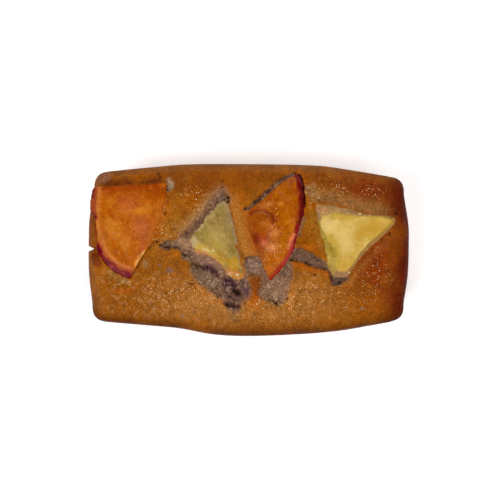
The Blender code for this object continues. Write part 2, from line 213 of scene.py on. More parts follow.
# Narrow slits between the torn parts, painted dark as the shade in them: points, width, depth
SLITS = (
    (((-24.2, 1.2), (-22.9, 0.6), (-21.8, 0.8)), 0.7, 0.7),
    (((-21.2, 0.8), (-20, 0.5), (-19, 0)), 0.45, 0.7),
    (((-18.4, -0.9), (-17.4, -1.4), (-16.4, -2)), 0.6, 0.7),
    (((-18.4, -1.9), (-17.2, -2.4)), 0.5, 0.4),
    (((-27, 1.7), (-26, 2), (-25.2, 2.5)), 0.5, 0.6),
    (((-25.2, 2.5), (-24.2, 3.5)), 0.2, 0.3),
    (((-32.4, -6.8), (-31.2, -4.8), (-29.8, -2.4), (-28.2, 0.2), (-27.2, 1.3)), 0.3, 0.45),
    (((-15.2, -4), (-14, -4.4), (-13, -4.8)), 0.7, 0.8),
    (((-13, -4.8), (-11.4, -5), (-10, -5.8), (-8.9, -6.6)), 0.45, 0.7),
    (((-7.2, -8.2), (-5.8, -8.8), (-4.6, -9.8), (-3.4, -10.2)), 0.5, 0.5),
    (((-6.6, -15.3), (-5.4, -15.5), (-4.2, -15.9), (-2.8, -15.6)), 0.5, 0.8),
    (((-4.2, -13.9), (-3.2, -14.3)), 0.3, 0.4),
    (((5.4, -13.8), (6.4, -14.1), (7.8, -15.1)), 0.5, 0.9),
    (((3, -13.3), (4.2, -13.7)), 0.25, 0.4),
    (((0.2, -7.2), (1, -6.8)), 0.35, 0.6),
    (((2.9, -7.3), (3.1, -8.4)), 0.3, 0.6),
    (((11.3, -2.7), (13, -3), (14.6, -3.2)), 0.45, 0.7),
    (((15.8, -3.7), (17.4, -4.5), (19, -4.8)), 0.4, 0.7),
    (((20.2, -5.1), (22, -5.6)), 0.35, 0.6),
    (((22.4, -6.2), (23.1, -8.2), (23.3, -9.6)), 0.5, 0.7),
    (((24.4, -9.2), (26, -8.9), (27.4, -7.9)), 0.5, 0.5),
    (((12, 21.2), (13, 21.4)), 0.5, 0.7),
    (((4.9, 15.9), (5.8, 16.7)), 0.6, 0.7),
    (((1.6, 13.2), (3.2, 14.8), (4.6, 16.1)), 0.28, 0.45),
    (((6.6, 17.9), (8.6, 19.5), (10.6, 20.8)), 0.24, 0.4),
    (((0.6, 12.7), (1.6, 13.1)), 0.3, 0.5),
    (((-39.8, 18.1), (-36, 18.2), (-32.2, 18.5)), 0.28, 0.3),
    (((-31.4, 18.6), (-26.4, 19)), 0.22, 0.3),
    (((-22.9, 14.8), (-22.2, 14.4)), 0.35, 0.4),
    (((-22.9, 13.4), (-23.2, 11)), 0.22, 0.4),
    (((-25.2, 21.2), (-24.6, 20.4)), 0.6, 0.4),
    (((16.2, 10), (15, 7.2), (14, 4), (13.4, 1)), 0.25, 0.3),
    (((17, 13.9), (20, 13.8)), 0.25, 0.2),
    (((-5.5, 12.6), (-4.5, 8.8), (-3.3, 4), (-2.2, 0), (-1.1, -5)), 0.22, 0.25),
)

# Round holes and pores, painted dark as the shade in them: place, radius, depth
HOLES = (
    ((-3.3, -11.8), 1.1, 1.5), ((-3.9, -11.6), 0.7, 1.2), ((-2.6, -12.3), 0.45, 1.0),
    ((-5.8, 14.5), 0.5, 1.0), ((-5.7, 13.5), 0.45, 1.0), ((41.2, 10.2), 0.5, 0.6),
    ((-1, 11.5), 0.45, 0.5), ((-23, 10.2), 0.35, 0.4), ((-7.3, 19.2), 0.4, 0.4),
    ((-7.4, 17.5), 0.35, 0.4), ((-28.9, -10.1), 0.32, 0.4), ((-15.8, -9.6), 0.38, 0.4),
    ((-18.4, -11.7), 0.28, 0.3), ((18.2, -7), 0.4, 0.4), ((17, -11.8), 0.3, 0.3),
    ((19.8, -11.8), 0.3, 0.3), ((14.4, -11.8), 0.3, 0.3), ((25.3, -20.5), 0.35, 0.3),
    ((30.4, -12.1), 0.3, 0.3), ((-22.7, -12.1), 0.25, 0.3), ((-22.6, 16.8), 0.4, 0.4),
    ((-24.6, 1.4), 0.3, 0.4), ((15.4, 13), 0.3, 0.3), ((16.6, 16.4), 0.3, 0.3),
    ((24.6, 13.6), 0.3, 0.3), ((-2.2, -8.6), 0.35, 0.5), ((-5.2, -13), 0.3, 0.4),
    ((-22.6, 14.8), 0.35, 0.5), ((-22.3, 14.5), 0.25, 0.4), ((-22.9, 12.6), 0.28, 0.4),
    ((-14.4, -5), 0.45, 0.7), ((-12.6, -5.3), 0.4, 0.7), ((-17.9, -1.6), 0.45, 0.6),
    ((-8.6, -13.2), 0.35, 0.5), ((-1.2, -14.8), 0.35, 0.5), ((10.6, -13.6), 0.3, 0.5),
    ((6.7, -14.3), 0.42, 0.7), ((7.4, -14.8), 0.4, 0.7), ((37, 2.7), 0.35, 0.4),
    ((34.5, 0.3), 0.3, 0.4), ((39.4, 4.4), 0.35, 0.4), ((31.8, -3.4), 0.3, 0.4),
)

# The left edge of the right plum slice, which lies under the crust
PLUM_RIGHT_SEAM = ((-0.6, 9.6), (0.1, 6), (1, 2.6), (2.4, -0.8), (3.9, -4))

# Where the crust has baked over the edge of the fruit: points, width, how far it reaches
OVERLAPS = (
    (PLUM_RIGHT_SEAM, 2.8, 1.3),
    (((-16.6, 3.6), (-15.7, 0.2), (-12.5, -1.4), (-9.4, -3), (-7, -5.2), (-5.4, -7.6)), 1.8, 0.5),
    (((19, 7.4), (20, 3), (21.4, -3), (22.8, -6.6)), 1.8, 0.6),
    (((24, 13), (30, 11.4), (36, 10.2)), 1.6, 0.5),
    (((-23.4, 12), (-24.5, 8.8), (-26, 5.5), (-27.6, 1.8)), 2.4, 1.4),
    (((28.6, -6.4), (30.8, -3.4), (34.8, 0.8), (38.6, 4.4), (41, 7.2)), 1.6, 0.25),
)

# The notch in the left end of the rim: its place across the cake, half its width and its depth
NOTCH_PLACE = 0.35
NOTCH_HALF_WIDTH = 0.75
NOTCH_DEPTH = 1.6

# Layers of noise: height, size of the blobs, seed. A seed stands for one fixed pattern
RAGGED_EDGE = ((0.42, 1.9, 4), (0.26, 0.8, 5), (0.16, 0.4, 6))
JAGGED_SLITS = ((0.42, 0.9, 18), (0.30, 0.45, 19))
BROKEN_SLITS = ((1.0, 0.8, 16), (0.4, 0.4, 17))
BROAD_LUMPS = ((0.30, 12.0, 0), (0.12, 5.0, 14))
CRUST_LUMPS = ((0.13, 2.6, 7), (0.11, 1.3, 8), (0.06, 0.7, 9))
TORN_LUMPS = ((0.26, 1.6, 10), (0.16, 0.8, 11))
CRUST_MOTTLING = ((0.20, 3.2, 21), (0.22, 1.1, 22), (0.24, 0.6, 26))
TORN_MOTTLING = ((0.24, 1.3, 23), (0.22, 0.6, 24), (0.10, 1.1, 22))
UNEVEN_EDGE = ((0.20, 1.6, 80), (0.12, 0.6, 82))

# Dimples of the crust, winding creases and bubbles of the torn crumb, pits of the side: size, seed
DIMPLES = (1.7, 15)
CREASES = (1.7, 27)
TORN_BUBBLES = (1.5, 12)
SIDE_PITS = (1.5, 3)

# How far apart the patterns of two seeds lie
NOISE_STEP = (17.3, 9.1, 5.7)
BUBBLES_STEP = (11.9, 3.3, 7.7)

# How strongly the scene's light brightens a surface, and the gloss that it adds
LIGHT_STRENGTH = 1.16
GLOSS_ADDED = 0.004


def tone(red, green, blue):
    """The surface colour that looks like a colour of 0 to 255 in the scene's light."""
    shares = np.array((red, green, blue)) / 255.0
    seen = np.where(shares <= 0.04045, shares / 12.92, ((shares + 0.055) / 1.055) ** 2.4)
    return np.maximum((seen - GLOSS_ADDED) / LIGHT_STRENGTH, 0.0005)


def ease(value, low, high):
    """0 below low, 1 above high, eased between them."""
    share = np.clip((value - low) / (high - low), 0.0, 1.0)
    return share * share * (3.0 - 2.0 * share)


def cubic(start, end, slope_in, slope_out, share):
    """A value on the cubic from start to end with the given changes over its whole span."""
    back = 1.0 - share
    return (
        back * back * (1.0 + 2.0 * share) * start
        + share * share * (3.0 - 2.0 * share) * end
        + share * back * (back * slope_in - share * slope_out)
    )


def along_curve(points, place):
    """The height at each place of the smooth open curve through (place, height) points."""
    places, heights = np.array(points).T
    after = np.minimum(np.arange(len(places)) + 1, len(places) - 1)
    before = np.maximum(np.arange(len(places)) - 1, 0)
    slopes = (heights[after] - heights[before]) / (places[after] - places[before])
    start = np.clip(np.searchsorted(places, place, side="right") - 1, 0, len(places) - 2)
    span = places[start + 1] - places[start]
    share = np.clip((place - places[start]) / span, 0.0, 1.0)
    return cubic(
        heights[start], heights[start + 1], slopes[start] * span, slopes[start + 1] * span, share
    )


def smooth_outline(points, per_side=6):
    """The closed outline through the points, with points added between them on a smooth curve."""
    corners = np.array(points)
    following = np.roll(corners, -1, axis=0)
    slopes = (following - np.roll(corners, 1, axis=0)) / 2
    shares = np.arange(per_side).reshape(1, -1, 1) / per_side
    curve = cubic(
        corners[:, None], following[:, None], slopes[:, None],
        np.roll(slopes, -1, axis=0)[:, None], shares,
    )
    return curve.reshape(-1, 2)


def line_distance(x, y, points):
    """How far each place lies from an open line through the points."""
    nearest = np.full(x.shape, np.inf)
    for (ax, ay), (bx, by) in zip(points, points[1:]):
        length_squared = max((bx - ax) ** 2 + (by - ay) ** 2, 1e-12)
        share = np.clip(((x - ax) * (bx - ax) + (y - ay) * (by - ay)) / length_squared, 0.0, 1.0)
        away = np.hypot(x - ax - (bx - ax) * share, y - ay - (by - ay) * share)
        nearest = np.minimum(nearest, away)
    return nearest


def inside_distance(x, y, outline):
    """How far each place lies inside a closed outline; below zero outside it, and -FAR far outside."""
    outline = np.asarray(outline)
    low, high = outline.min(0) - FAR, outline.max(0) + FAR
    near = (x > low[0]) & (x < high[0]) & (y > low[1]) & (y < high[1])
    px, py = x[near], y[near]
    inside = np.zeros(px.shape, bool)
    closed = np.vstack([outline, outline[:1]])
    for (ax, ay), (bx, by) in zip(closed, closed[1:]):
        if ay != by:
            crossing = ax + (bx - ax) * (py - ay) / (by - ay)
            inside ^= ((ay > py) != (by > py)) & (px < crossing)
    nearest = line_distance(px, py, closed)
    result = np.full(x.shape, -FAR)
    result[near] = np.where(inside, nearest, np.maximum(-nearest, -FAR))
    return result


def noise_at(points, size, seed=0):
    """Smooth noise of about -1 to 1 at each point, with blobs of a size; a seed picks the pattern."""
    shift = Vector([seed * step for step in NOISE_STEP])
    return np.array([noise.noise(Vector(point) + shift) for point in (points / size).tolist()])


def bubbles_at(points, size, seed=0):
    """The distance to the nearest of many scattered points, as a share of their spacing."""
    shift = Vector([seed * step for step in BUBBLES_STEP])
    return np.array([noise.voronoi(Vector(point) + shift)[0][0] for point in (points / size).tolist()])


def flood(colour, count):
    """One tone for each of a number of points."""
    return np.tile(tone(*colour), (count, 1))


def paint(tones, colour, amount):
    """Mixes a colour into the tones by an amount of 0 to 1 at each point."""
    tones += (tone(*colour) - tones) * np.clip(amount, 0.0, 1.0)[:, None]


class Ground:
    """Places seen from above, and the soft shapes that are painted or raised on them."""

    def __init__(self, x, y):
        self.x = x
        self.y = y
        self.flat = np.column_stack([x, y, np.zeros(len(x))])
        self.ragged = self.layered(RAGGED_EDGE)

    def noise(self, size, seed=0):
        """Smooth noise over the places."""
        return noise_at(self.flat, size, seed)

    def layered(self, layers):
        """Layers of noise laid over each other."""
        return sum(height * self.noise(size, seed) for height, size, seed in layers)

    def fibres(self, turn, length, width, seed=0):
        """Noise stretched along a direction, given in degrees."""
        cos, sin = math.cos(math.radians(turn)), math.sin(math.radians(turn))
        along, across = self.x * cos + self.y * sin, self.y * cos - self.x * sin
        return noise_at(np.column_stack([along / length, across / width, 0 * along]), 1.0, seed)

    def oval(self, at, size, turn):
        """How far out each place lies in an oval, whose edge is 1."""
        cos, sin = math.cos(math.radians(turn)), math.sin(math.radians(turn))
        dx, dy = self.x - at[0], self.y - at[1]
        return np.hypot((dx * cos + dy * sin) / size[0], (dy * cos - dx * sin) / size[1])

    def wash(self, at, size, turn=0.0):
        """A wide soft oval."""
        return np.exp(-self.oval(at, size, turn) ** 2)

    def spot(self, at, size, turn=0.0, ragged=0.6):
        """An oval with a ragged, clearer edge."""
        return 1.0 - ease(self.oval(at, size, turn) - ragged * self.ragged / min(size), 0.55, 1.25)

    def line(self, points, width, soft=0.4, ragged=0.6):
        """A stroke along a line."""
        away = line_distance(self.x, self.y, points) - ragged * self.ragged
        return 1.0 - ease(away, (width - soft) / 2, (width + soft) / 2)

    def area(self, points, soft=0.4, ragged=0.8):
        """The inside of an outline."""
        return ease(inside_distance(self.x, self.y, points) + ragged * self.ragged, -soft, soft)

    def painted(self, tones, marks):
        """Paints a list of marks: colour, amount, kind of shape and the facts of the shape."""
        for colour, amount, kind, *facts in marks:
            paint(tones, colour, amount * getattr(self, kind)(*facts))

    def raised(self, marks):
        """The height that a list of marks gives: height, kind of shape and the facts of the shape."""
        return sum(height * getattr(self, kind)(*facts) for height, kind, *facts in marks)


def edges_at(x, y):
    """Half the length and half the width of the cake on the side where each place lies."""
    half_length = np.where(x > 0, along_curve(RIGHT_END, y), along_curve(LEFT_END, y))
    half_width = np.where(y > 0, along_curve(BACK_EDGE, x), along_curve(FRONT_EDGE, x))
    return half_length, half_width


def border_way(x, y):
    """The nearest inner place of the plain bar, and the way from it out into the border."""
    inner_x = np.clip(x, BORDER - HALF_LENGTH, HALF_LENGTH - BORDER)
    inner_y = np.clip(y, BORDER - HALF_WIDTH, HALF_WIDTH - BORDER)
    return inner_x, inner_y, x - inner_x, y - inner_y


def rounded_length(dx, dy):
    """The length of a way out as the rounded corners count it."""
    return (np.abs(dx) ** CORNER_SQUARENESS + np.abs(dy) ** CORNER_SQUARENESS) ** (1 / CORNER_SQUARENESS)


def smooth_top(x, y, reach):
    """The height of the top without relief, at places of the plain bar and their reach outwards."""
    shoulder = SHOULDER_RISE * np.sqrt(1.0 - np.clip(reach / BORDER, 0.0, 1.0) ** 2)
    dome = DOME_RISE * (1.0 - (x / HALF_LENGTH) ** 2) * (1.0 - (y / HALF_WIDTH) ** 2)
    return RIM_HEIGHT + shoulder + dome


def fruit_bed(x, y):
    """The height that fruit follows over real places: the smooth top, but stiffer over the rim."""
    half_length, half_width = edges_at(x, y)
    x = x * HALF_LENGTH / half_length
    y = y * HALF_WIDTH / half_width
    reach = rounded_length(*border_way(x, y)[2:])
    return smooth_top(x, y, np.minimum(reach, BED_REACH))


def held_down(z):
    """Heights kept under the highest allowed one, softly."""
    over = np.maximum(z - (HIGHEST - DRAWN_IN), 0.0)
    return np.where(over > 0.0, HIGHEST - DRAWN_IN * np.exp(-over / DRAWN_IN), z)


def placed(name, content):
    """An object with its content, in the scene."""
    thing = bpy.data.objects.new(name, content)
    bpy.context.scene.collection.objects.link(thing)
    return thing


def meshed(name, shape, material):
    """The object of a shape, with its material."""
    mesh = bpy.data.meshes.new(name)
    shape.to_mesh(mesh)
    shape.free()
    mesh.materials.append(material)
    return placed(name, mesh)


def finished(name, shape, material, node):
    """The object of a finished piece of the cake."""
    piece = meshed(name, shape, material)
    piece.data.shade_smooth()
    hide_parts(node)
    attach(piece, "root")
    return piece


def points_of(mesh):
    """The mesh's points as an array."""
    places = np.empty(len(mesh.vertices) * 3)
    mesh.vertices.foreach_get("co", places)
    return places.reshape(-1, 3)


def set_points(mesh, places):
    """Moves the mesh's points to an array of places in millimetres."""
    mesh.vertices.foreach_set("co", (places * MM).ravel())
    mesh.update()


def set_field(mesh, name, values):
    """Stores one number or one colour at each point for the material to read."""
    if values.ndim == 2:
        field = mesh.attributes.new(name, "FLOAT_COLOR", "POINT")
        colours = np.hstack([np.clip(values, 0.0, 1.0), np.ones((len(values), 1))])
        field.data.foreach_set("color", colours.ravel())
    else:
        field = mesh.attributes.new(name, "FLOAT", "POINT")
        field.data.foreach_set("value", np.clip(values, 0.0, 1.0))


# The crust


def crumb_fields(ground):
    """How much torn crumb shows at each place, and how far the crust drops there."""
    crumb = np.zeros(len(ground.x))
    drop = np.zeros(len(ground.x))
    for outline, depth, slope, soft in CRUMB:
        within = inside_distance(ground.x, ground.y, outline) + ground.ragged
        crumb = np.maximum(crumb, ease(within, -soft, soft))
        drop = np.maximum(drop, depth * ease(within, -0.5 * slope, 0.5 * slope))
    return crumb, drop


def dark_fields(ground):
    """How much painted shade the slits and holes get at each place, how much lies around them, and how
    deep they are.
    """
    dark = np.zeros(len(ground.x))
    shade_around_slits = np.zeros(len(ground.x))
    deep = np.zeros(len(ground.x))
    jagged = ground.layered(JAGGED_SLITS)
    broken = 0.35 + 0.65 * ease(ground.layered(BROKEN_SLITS), -0.2, 0.35)
    for points, width, depth in SLITS:
        away = line_distance(ground.x, ground.y, points) - jagged
        share = 1.0 - ease(away, -0.1, 0.35 * width + 0.12)
        dark = np.maximum(dark, share * broken * min(1.0, depth / 0.6))
        deep = np.maximum(deep, share * depth)
        shade_around_slits = np.maximum(shade_around_slits, (1.0 - ease(away, 0.0, width + 0.6)) * min(1.0, depth))
    for at, radius, depth in HOLES:
        away = np.hypot(ground.x - at[0], ground.y - at[1]) - 0.6 * jagged
        share = 1.0 - ease(away, 0.2 * radius, radius + 0.08)
        dark = np.maximum(dark, share * min(1.0, depth / 0.5))
        deep = np.maximum(deep, share * depth)
        shade_around_slits = np.maximum(shade_around_slits, 0.7 * (1.0 - ease(away, radius, radius + 0.5)) * min(1.0, depth))
    return dark, shade_around_slits, deep


def stations(half):
    """Where the grid's lines run across one direction of the bar: close together in the border."""
    border = half - np.array(BORDER_STEPS)
    middle = half - BORDER
    count = round(2 * middle / CELL)
    return np.concatenate([-border, np.linspace(-middle, middle, count + 1), border[::-1]])


def flat_bar(columns, rows, rings):
    """The pattern of the cake: a grid of whole steps, its border drawn down ring by ring."""
    shape = bmesh.new()
    bmesh.ops.create_grid(shape, x_segments=columns, y_segments=rows, size=0.5)
    bmesh.ops.scale(shape, vec=(columns, rows, 1.0), verts=shape.verts)
    bmesh.ops.translate(shape, vec=(columns / 2, rows / 2, 0.0), verts=shape.verts)
    border = [side for side in shape.edges if side.is_boundary]
    for _ in range(rings):
        ring = bmesh.ops.extrude_edge_only(shape, edges=border)["geom"]
        corners = [part for part in ring if isinstance(part, bmesh.types.BMVert)]
        bmesh.ops.translate(shape, vec=(0, 0, -1), verts=corners)
        border = [part for part in ring if isinstance(part, bmesh.types.BMEdge)]
    bmesh.ops.contextual_create(shape, geom=border)
    bmesh.ops.recalc_face_normals(shape, faces=shape.faces)
    return shape


# A mark is an amount, then a shape of the class Ground and the facts of that shape. These marks
# raise or lower the crust
CRUST_RELIEF = (
    (0.25, "line", ((-24, -0.6), (-20.5, -1.4), (-18.8, -3.4)), 2.4, 2.2, 0.0),
    (0.30, "line", ((12.4, -4.6), (17.5, -6.4), (21.8, -7.4)), 2.8, 2.4, 0.0),
    (0.25, "line", ((14, 2), (18, 0.4), (21, -2)), 2.2, 2.0, 0.0),
    (0.30, "spot", (1.8, -9.6), (1.5, 3.2), 8.0, 0.2),
    (0.35, "line", ((-3.6, 10), (-2.2, 5), (-0.6, 0)), 2.0, 1.8, 0.0),
    (-0.30, "wash", (-25, -16), (9, 4)),
    (0.25, "wash", (-12, -15), (5, 3.5)),
    (-0.25, "wash", (-1, -20), (6, 2.5)),
    (0.25, "wash", (9, -18), (6, 3)),
    (-0.25, "wash", (34, -14), (5, 5)),
    (-0.30, "wash", (26, 15), (7, 2.4)),
    (-0.25, "line", ((-42, 19.2), (-32, 19.6), (-23, 20)), 1.6, 1.6, 0.0),
)

# Colours of the crust, as marks that are painted in this order
CRUST_MARKS = (
    ((174, 115, 52), 0.8, "wash", (-8, -14.5), (19, 7)),
    ((172, 112, 50), 0.65, "wash", (15, -13.5), (12, 6.5)),
    ((166, 106, 36), 0.55, "wash", (-22.5, 5), (4.5, 8)),
    ((164, 116, 62), 0.8, "line", ((-18.6, 5.6), (-15.8, 8.2), (-12.8, 11.8), (-9.8, 15.6),
     (-8, 17.4)), 3.2, 3.0),
    ((176, 112, 46), 0.8, "line", ((-4.5, 14), (-3, 8), (-0.9, 2), (0.3, -1)), 3.6, 2.0),
    ((130, 64, 0), 0.7, "wash", (-14, 18.5), (16, 4)),
    ((116, 42, 0), 0.85, "wash", (32.6, 16.6), (11.5, 5)),
    ((136, 54, 0), 0.88, "wash", (35.6, -4), (6.4, 10)),
    ((138, 76, 8), 0.7, "wash", (-34, -13), (8, 5)),
    ((132, 66, 18), 0.6, "line", ((-44, 8), (-44.2, 1)), 2.4, 2.0),
    ((152, 90, 42), 0.7, "line", ((-44.2, -4), (-43.4, -9), (-42.4, -16)), 2.8, 2.4),
    ((132, 68, 24), 0.8, "spot", (-43.4, 5.4), (1.3, 4)),
    ((118, 48, 14), 0.8, "line", ((-43.2, 9.6), (-42.8, 6), (-42.4, 2.6), (-42.4, 1.4)), 0.6, 0.5),
    ((96, 28, 0), 0.9, "spot", (-42.6, -2.6), (1.4, 2.8), 30.0),
    ((172, 84, 4), 0.65, "spot", (-34.2, -11.4), (3.4, 1.1)),
    ((150, 102, 40), 0.7, "spot", (-36.8, -7.3), (4.2, 1.4), -28.0),
    ((170, 130, 78), 0.5, "spot", (-34.2, -8.9), (1.7, 0.6), -20.0),
    ((168, 126, 80), 0.5, "spot", (-38.8, -6.4), (0.9, 0.6), -20.0),
    ((160, 98, 18), 0.6, "spot", (17, 9), (1.2, 4.4)),
    ((154, 102, 34), 0.6, "line", ((18, 10), (18.8, 6), (19.8, 1.6), (21, -3)), 1.6, 1.4, 1.0),
    ((164, 90, 28), 0.8, "line", PLUM_RIGHT_SEAM[:4], 2.8, 2.0, 1.2),
    ((172, 122, 84), 0.6, "line", ((-16.4, 0.8), (-14.6, -1), (-10.6, -2.6), (-7.8, -4.8), (-6, -7.4)),
     1.8, 1.6, 1.4),
    ((148, 100, 46), 0.6, "line", ((19, 15.6), (24, 14.9), (30, 13.2), (36, 11.8)), 4.0, 3.6, 1.0),
    ((158, 100, 44), 0.6, "line", ((23, -9), (28, -8.6), (31.6, -4.6), (35.6, -0.4), (39.6, 3.8)),
     1.6, 1.5, 1.0),
    ((170, 88, 14), 0.45, "line", ((-24.6, 0.2), (-21.5, -0.3), (-19.2, -1.6), (-18.2, -3.4)),
     1.5, 1.4),
    ((178, 86, 10), 0.7, "line", ((12.6, -3.9), (16, -4.8), (19, -5.9), (21.8, -6.8)), 1.6, 1.5),
    ((176, 88, 14), 0.6, "line", ((13.8, 1.6), (17.6, 0.4), (20.4, -1.4)), 1.6, 1.5),
    ((178, 80, 12), 0.6, "spot", (-7.3, -14.3), (0.9, 0.7), -30.0),
    ((122, 50, 0), 0.95, "area", ((0, -7.2), (1.5, -6.9), (3.2, -7.5), (3.5, -9.3), (2.8, -10.6),
     (2.5, -12), (3, -13.4), (1.6, -14.6), (0.2, -12.8), (0.6, -11)), 0.4),
    ((182, 98, 26), 0.6, "wash", (1.6, -15.4), (2, 2.2)),
    ((150, 64, 0), 0.5, "spot", (1.7, -10), (0.8, 1.7), 0.0, 0.8),
    ((182, 92, 8), 0.7, "wash", (1.4, -13.6), (1.6, 1.4)),
    ((142, 104, 62), 0.5, "line", ((18, 15), (24, 14), (29, 12.8), (36, 11), (40.6, 10.2)),
     2.4, 2.4, 1.4),
    ((152, 112, 66), 0.5, "spot", (17.8, 16.6), (1.6, 2.4), 0.0, 1.4),
    ((152, 110, 64), 0.6, "wash", (-4.4, -18.8), (1.8, 1.4)),
    ((128, 92, 74), 0.8, "spot", (-24.8, -4.1), (0.6, 0.5), 0.0, 0.4),
    ((128, 94, 78), 0.85, "spot", (-21.9, -5.6), (1.1, 0.9), 0.0, 0.5),
    ((96, 66, 54), 0.6, "spot", (-22.6, -5.6), (0.3, 0.7), 0.0, 0.3),
    ((150, 110, 62), 0.7, "spot", (-28.6, -3.9), (1.3, 1.2), 0.0, 0.8),
    ((140, 112, 96), 0.8, "spot", (-18.4, -18.3), (0.5, 0.45), 0.0, 0.2),
    ((146, 118, 92), 0.8, "spot", (31.6, -16.3), (0.55, 0.5), 0.0, 0.2),
    ((142, 108, 76), 0.6, "spot", (16.2, 16.8), (0.8, 1.4)),
    ((128, 100, 78), 0.7, "line", ((15.2, 8.6), (14.5, 6.4), (14, 4.2)), 0.9, 0.6),
    # Painted shade in the gap above the left plum slice's top edge
    ((90, 38, 4), 0.8, "line", ((-41, 18.6), (-34, 18.9), (-25, 19.4)), 1.5, 1.4, 0.8),
    ((110, 62, 22), 0.5, "spot", (41, 10), (1.2, 0.8)),
    ((176, 82, 10), 0.5, "spot", (-24, 12), (0.8, 3)),
    ((124, 46, 0), 0.5, "wash", (36, -3), (5, 9)),
    ((118, 44, 0), 0.5, "wash", (35, 17), (7, 3.4)),
    ((178, 92, 20), 0.75, "line", ((-23.2, 13), (-24, 9.4), (-25.3, 5.8), (-26.8, 2.6)), 2.4, 2.0, 1.6),
)

# Colours of the torn crumb, likewise
CRUMB_MARKS = (
    ((162, 122, 92), 0.9, "spot", (-18, 2.2), (2.8, 1.8), -30.0, 1.0),
    ((114, 82, 60), 0.85, "line", ((-17.5, 4.4), (-13, 9), (-9.4, 13)), 2.8, 1.4),
    ((104, 78, 62), 0.8, "spot", (-7.3, 14.6), (1.8, 1.8)),
    ((150, 114, 96), 0.85, "spot", (-11.4, -3), (5, 1.4), -25.0, 1.0),
    ((124, 98, 76), 0.7, "spot", (-12, -8), (4.6, 2.2), -40.0),
    ((104, 74, 68), 0.7, "spot", (-3.4, -11.4), (4.2, 3.4)),
    ((80, 46, 58), 0.9, "spot", (-10, -5.8), (2.6, 1.2), -30.0, 1.4),
    ((66, 34, 52), 0.92, "spot", (-5.3, -9.2), (2.8, 1.5), -35.0, 1.4),
    ((90, 64, 58), 0.7, "spot", (-6, -12.4), (1.6, 1.2), -35.0, 1.4),
    ((92, 56, 66), 0.75, "spot", (-0.9, -10.4), (0.9, 2.4), 0.0, 1.2),
    # Painted shade along the slit at the front of the torn crumb
    ((60, 36, 38), 0.85, "spot", (-4.3, -15.6), (2.6, 0.8), -5.0, 1.2),
    ((164, 120, 90), 0.65, "line", ((-16.4, 0.8), (-14.6, -1), (-10.6, -2.4), (-7.8, -4.6),
     (-6, -7.2)), 1.6, 1.4, 1.4),
    ((148, 116, 98), 0.7, "spot", (1.2, -4.2), (2.4, 2.4)),
    ((156, 117, 90), 0.6, "spot", (7.6, -10.4), (3.6, 3.4)),
    ((112, 82, 66), 0.6, "line", ((11.6, -1.8), (16, -2.6), (21.4, -4.6)), 2.6, 1.0),
    ((88, 68, 60), 0.8, "spot", (25, -8.8), (2.4, 1.2), 15.0),
    ((96, 70, 54), 0.85, "line", ((0, 12), (6, 17.4), (12.4, 21.2)), 1.6, 1.0),
    # Painted shade in the gap beside the right plum slice, with a lighter spot between
    ((66, 42, 34), 0.8, "spot", (2.6, 13.6), (1.5, 0.4), 45.0, 0.8),
    ((70, 46, 36), 0.7, "spot", (5.2, 16), (1.1, 0.5), 45.0, 0.8),
    ((134, 108, 84), 0.7, "spot", (7.8, 18.2), (1, 0.4), 42.0, 0.8),
    ((72, 50, 40), 0.7, "spot", (10.2, 20.2), (1, 0.4), 35.0, 0.8),
    ((158, 130, 98), 0.8, "spot", (-21.9, 18.3), (0.8, 1.3), 15.0),
)

# Where the crust gets painted glints of oil and its grain is lightened as a painted highlight: place,
# size
SHINE_SPOTS = (
    ((24.5, 17), (4, 2.6)), ((31.6, -10), (3, 4.4)), ((-19.5, -11), (5, 3.6)), ((18, 15.6), (2, 3)),
    ((34, 16), (3, 2)), ((2, -17), (4, 3)), ((-23, 6), (3.6, 6)), ((-24.6, 4.6), (1.2, 2.4)),
    ((-13, -13.5), (4, 3)), ((9, -16), (8, 3.4)), ((-27, -13), (8, 4)), ((-13, 10), (2, 3)),
    ((18, -12), (6, 4)), ((-15, 15), (4, 3)), ((-36, -9), (4, 2)), ((-10, -9.5), (4.5, 3.5)),
    ((8, -9.5), (3.6, 4.4)), ((-14, -1.5), (4, 1.6)), ((1.4, -4.4), (2.2, 2.4)),
    ((36.2, -5), (2.4, 5)), ((27, -13), (4, 3)),
)


def dimples_at(ground):
    """Small round dimples all over the crust."""
    return ease(bubbles_at(ground.flat, *DIMPLES), 0.3, 0.06)


def creases_at(ground):
    """Thin winding creases between the lumps of the torn crumb."""
    size, seed = CREASES
    winding = np.abs(ground.layered(((1.0, size, seed), (0.35, size * 0.4, seed + 1))))
    return 1.0 - ease(winding, 0.0, 0.14)


def top_relief(ground, crumb, drop, deep, nearest, seats, joined):
    """How far the crust's top rises over its smooth form at each place.

    nearest is how far inside any fruit's outline a place lies, seats how far inside the edge of its
    bed, and joined how far the crust has baked over the fruit there.
    """
    # Broad lumps, calm beside the fruit, where the crust swells instead
    rise = ground.layered(BROAD_LUMPS) + ground.raised(CRUST_RELIEF)
    rise *= ease(-nearest, 0.0, 3.0)
    swell = np.sin(np.pi * np.sqrt(np.clip(-nearest / 4.5, 0.0, 1.0)))
    rise += 0.30 * swell * (1.0 - 0.8 * joined)

    # Fine lumps and dimples of whole crust, creases and bubbles of torn crumb
    fine = ground.layered(CRUST_LUMPS) - 0.18 * dimples_at(ground)
    torn = ground.layered(TORN_LUMPS) - 0.30 * creases_at(ground)
    torn -= 0.30 * ease(bubbles_at(ground.flat, *TORN_BUBBLES), 0.40, 0.1)
    rise += (fine * (1.0 - crumb) + torn * crumb) * ease(-seats, -1.2, 0.2) - deep
    rise -= drop * (1.0 - 0.85 * ease(nearest, -1.6, 0.0))

    # A lip here and there at the fruit's edge, then the bed under the fruit
    lip = ease(ground.noise(3.4, 28), -0.2, 0.3) * ease(nearest, -1.2, -0.1)
    rise += 0.12 * lip * (1.0 - joined)
    return rise - 0.7 * ease(seats, 0.0, 2.0) - 1.6 * ease(seats, 1.2, 2.6)


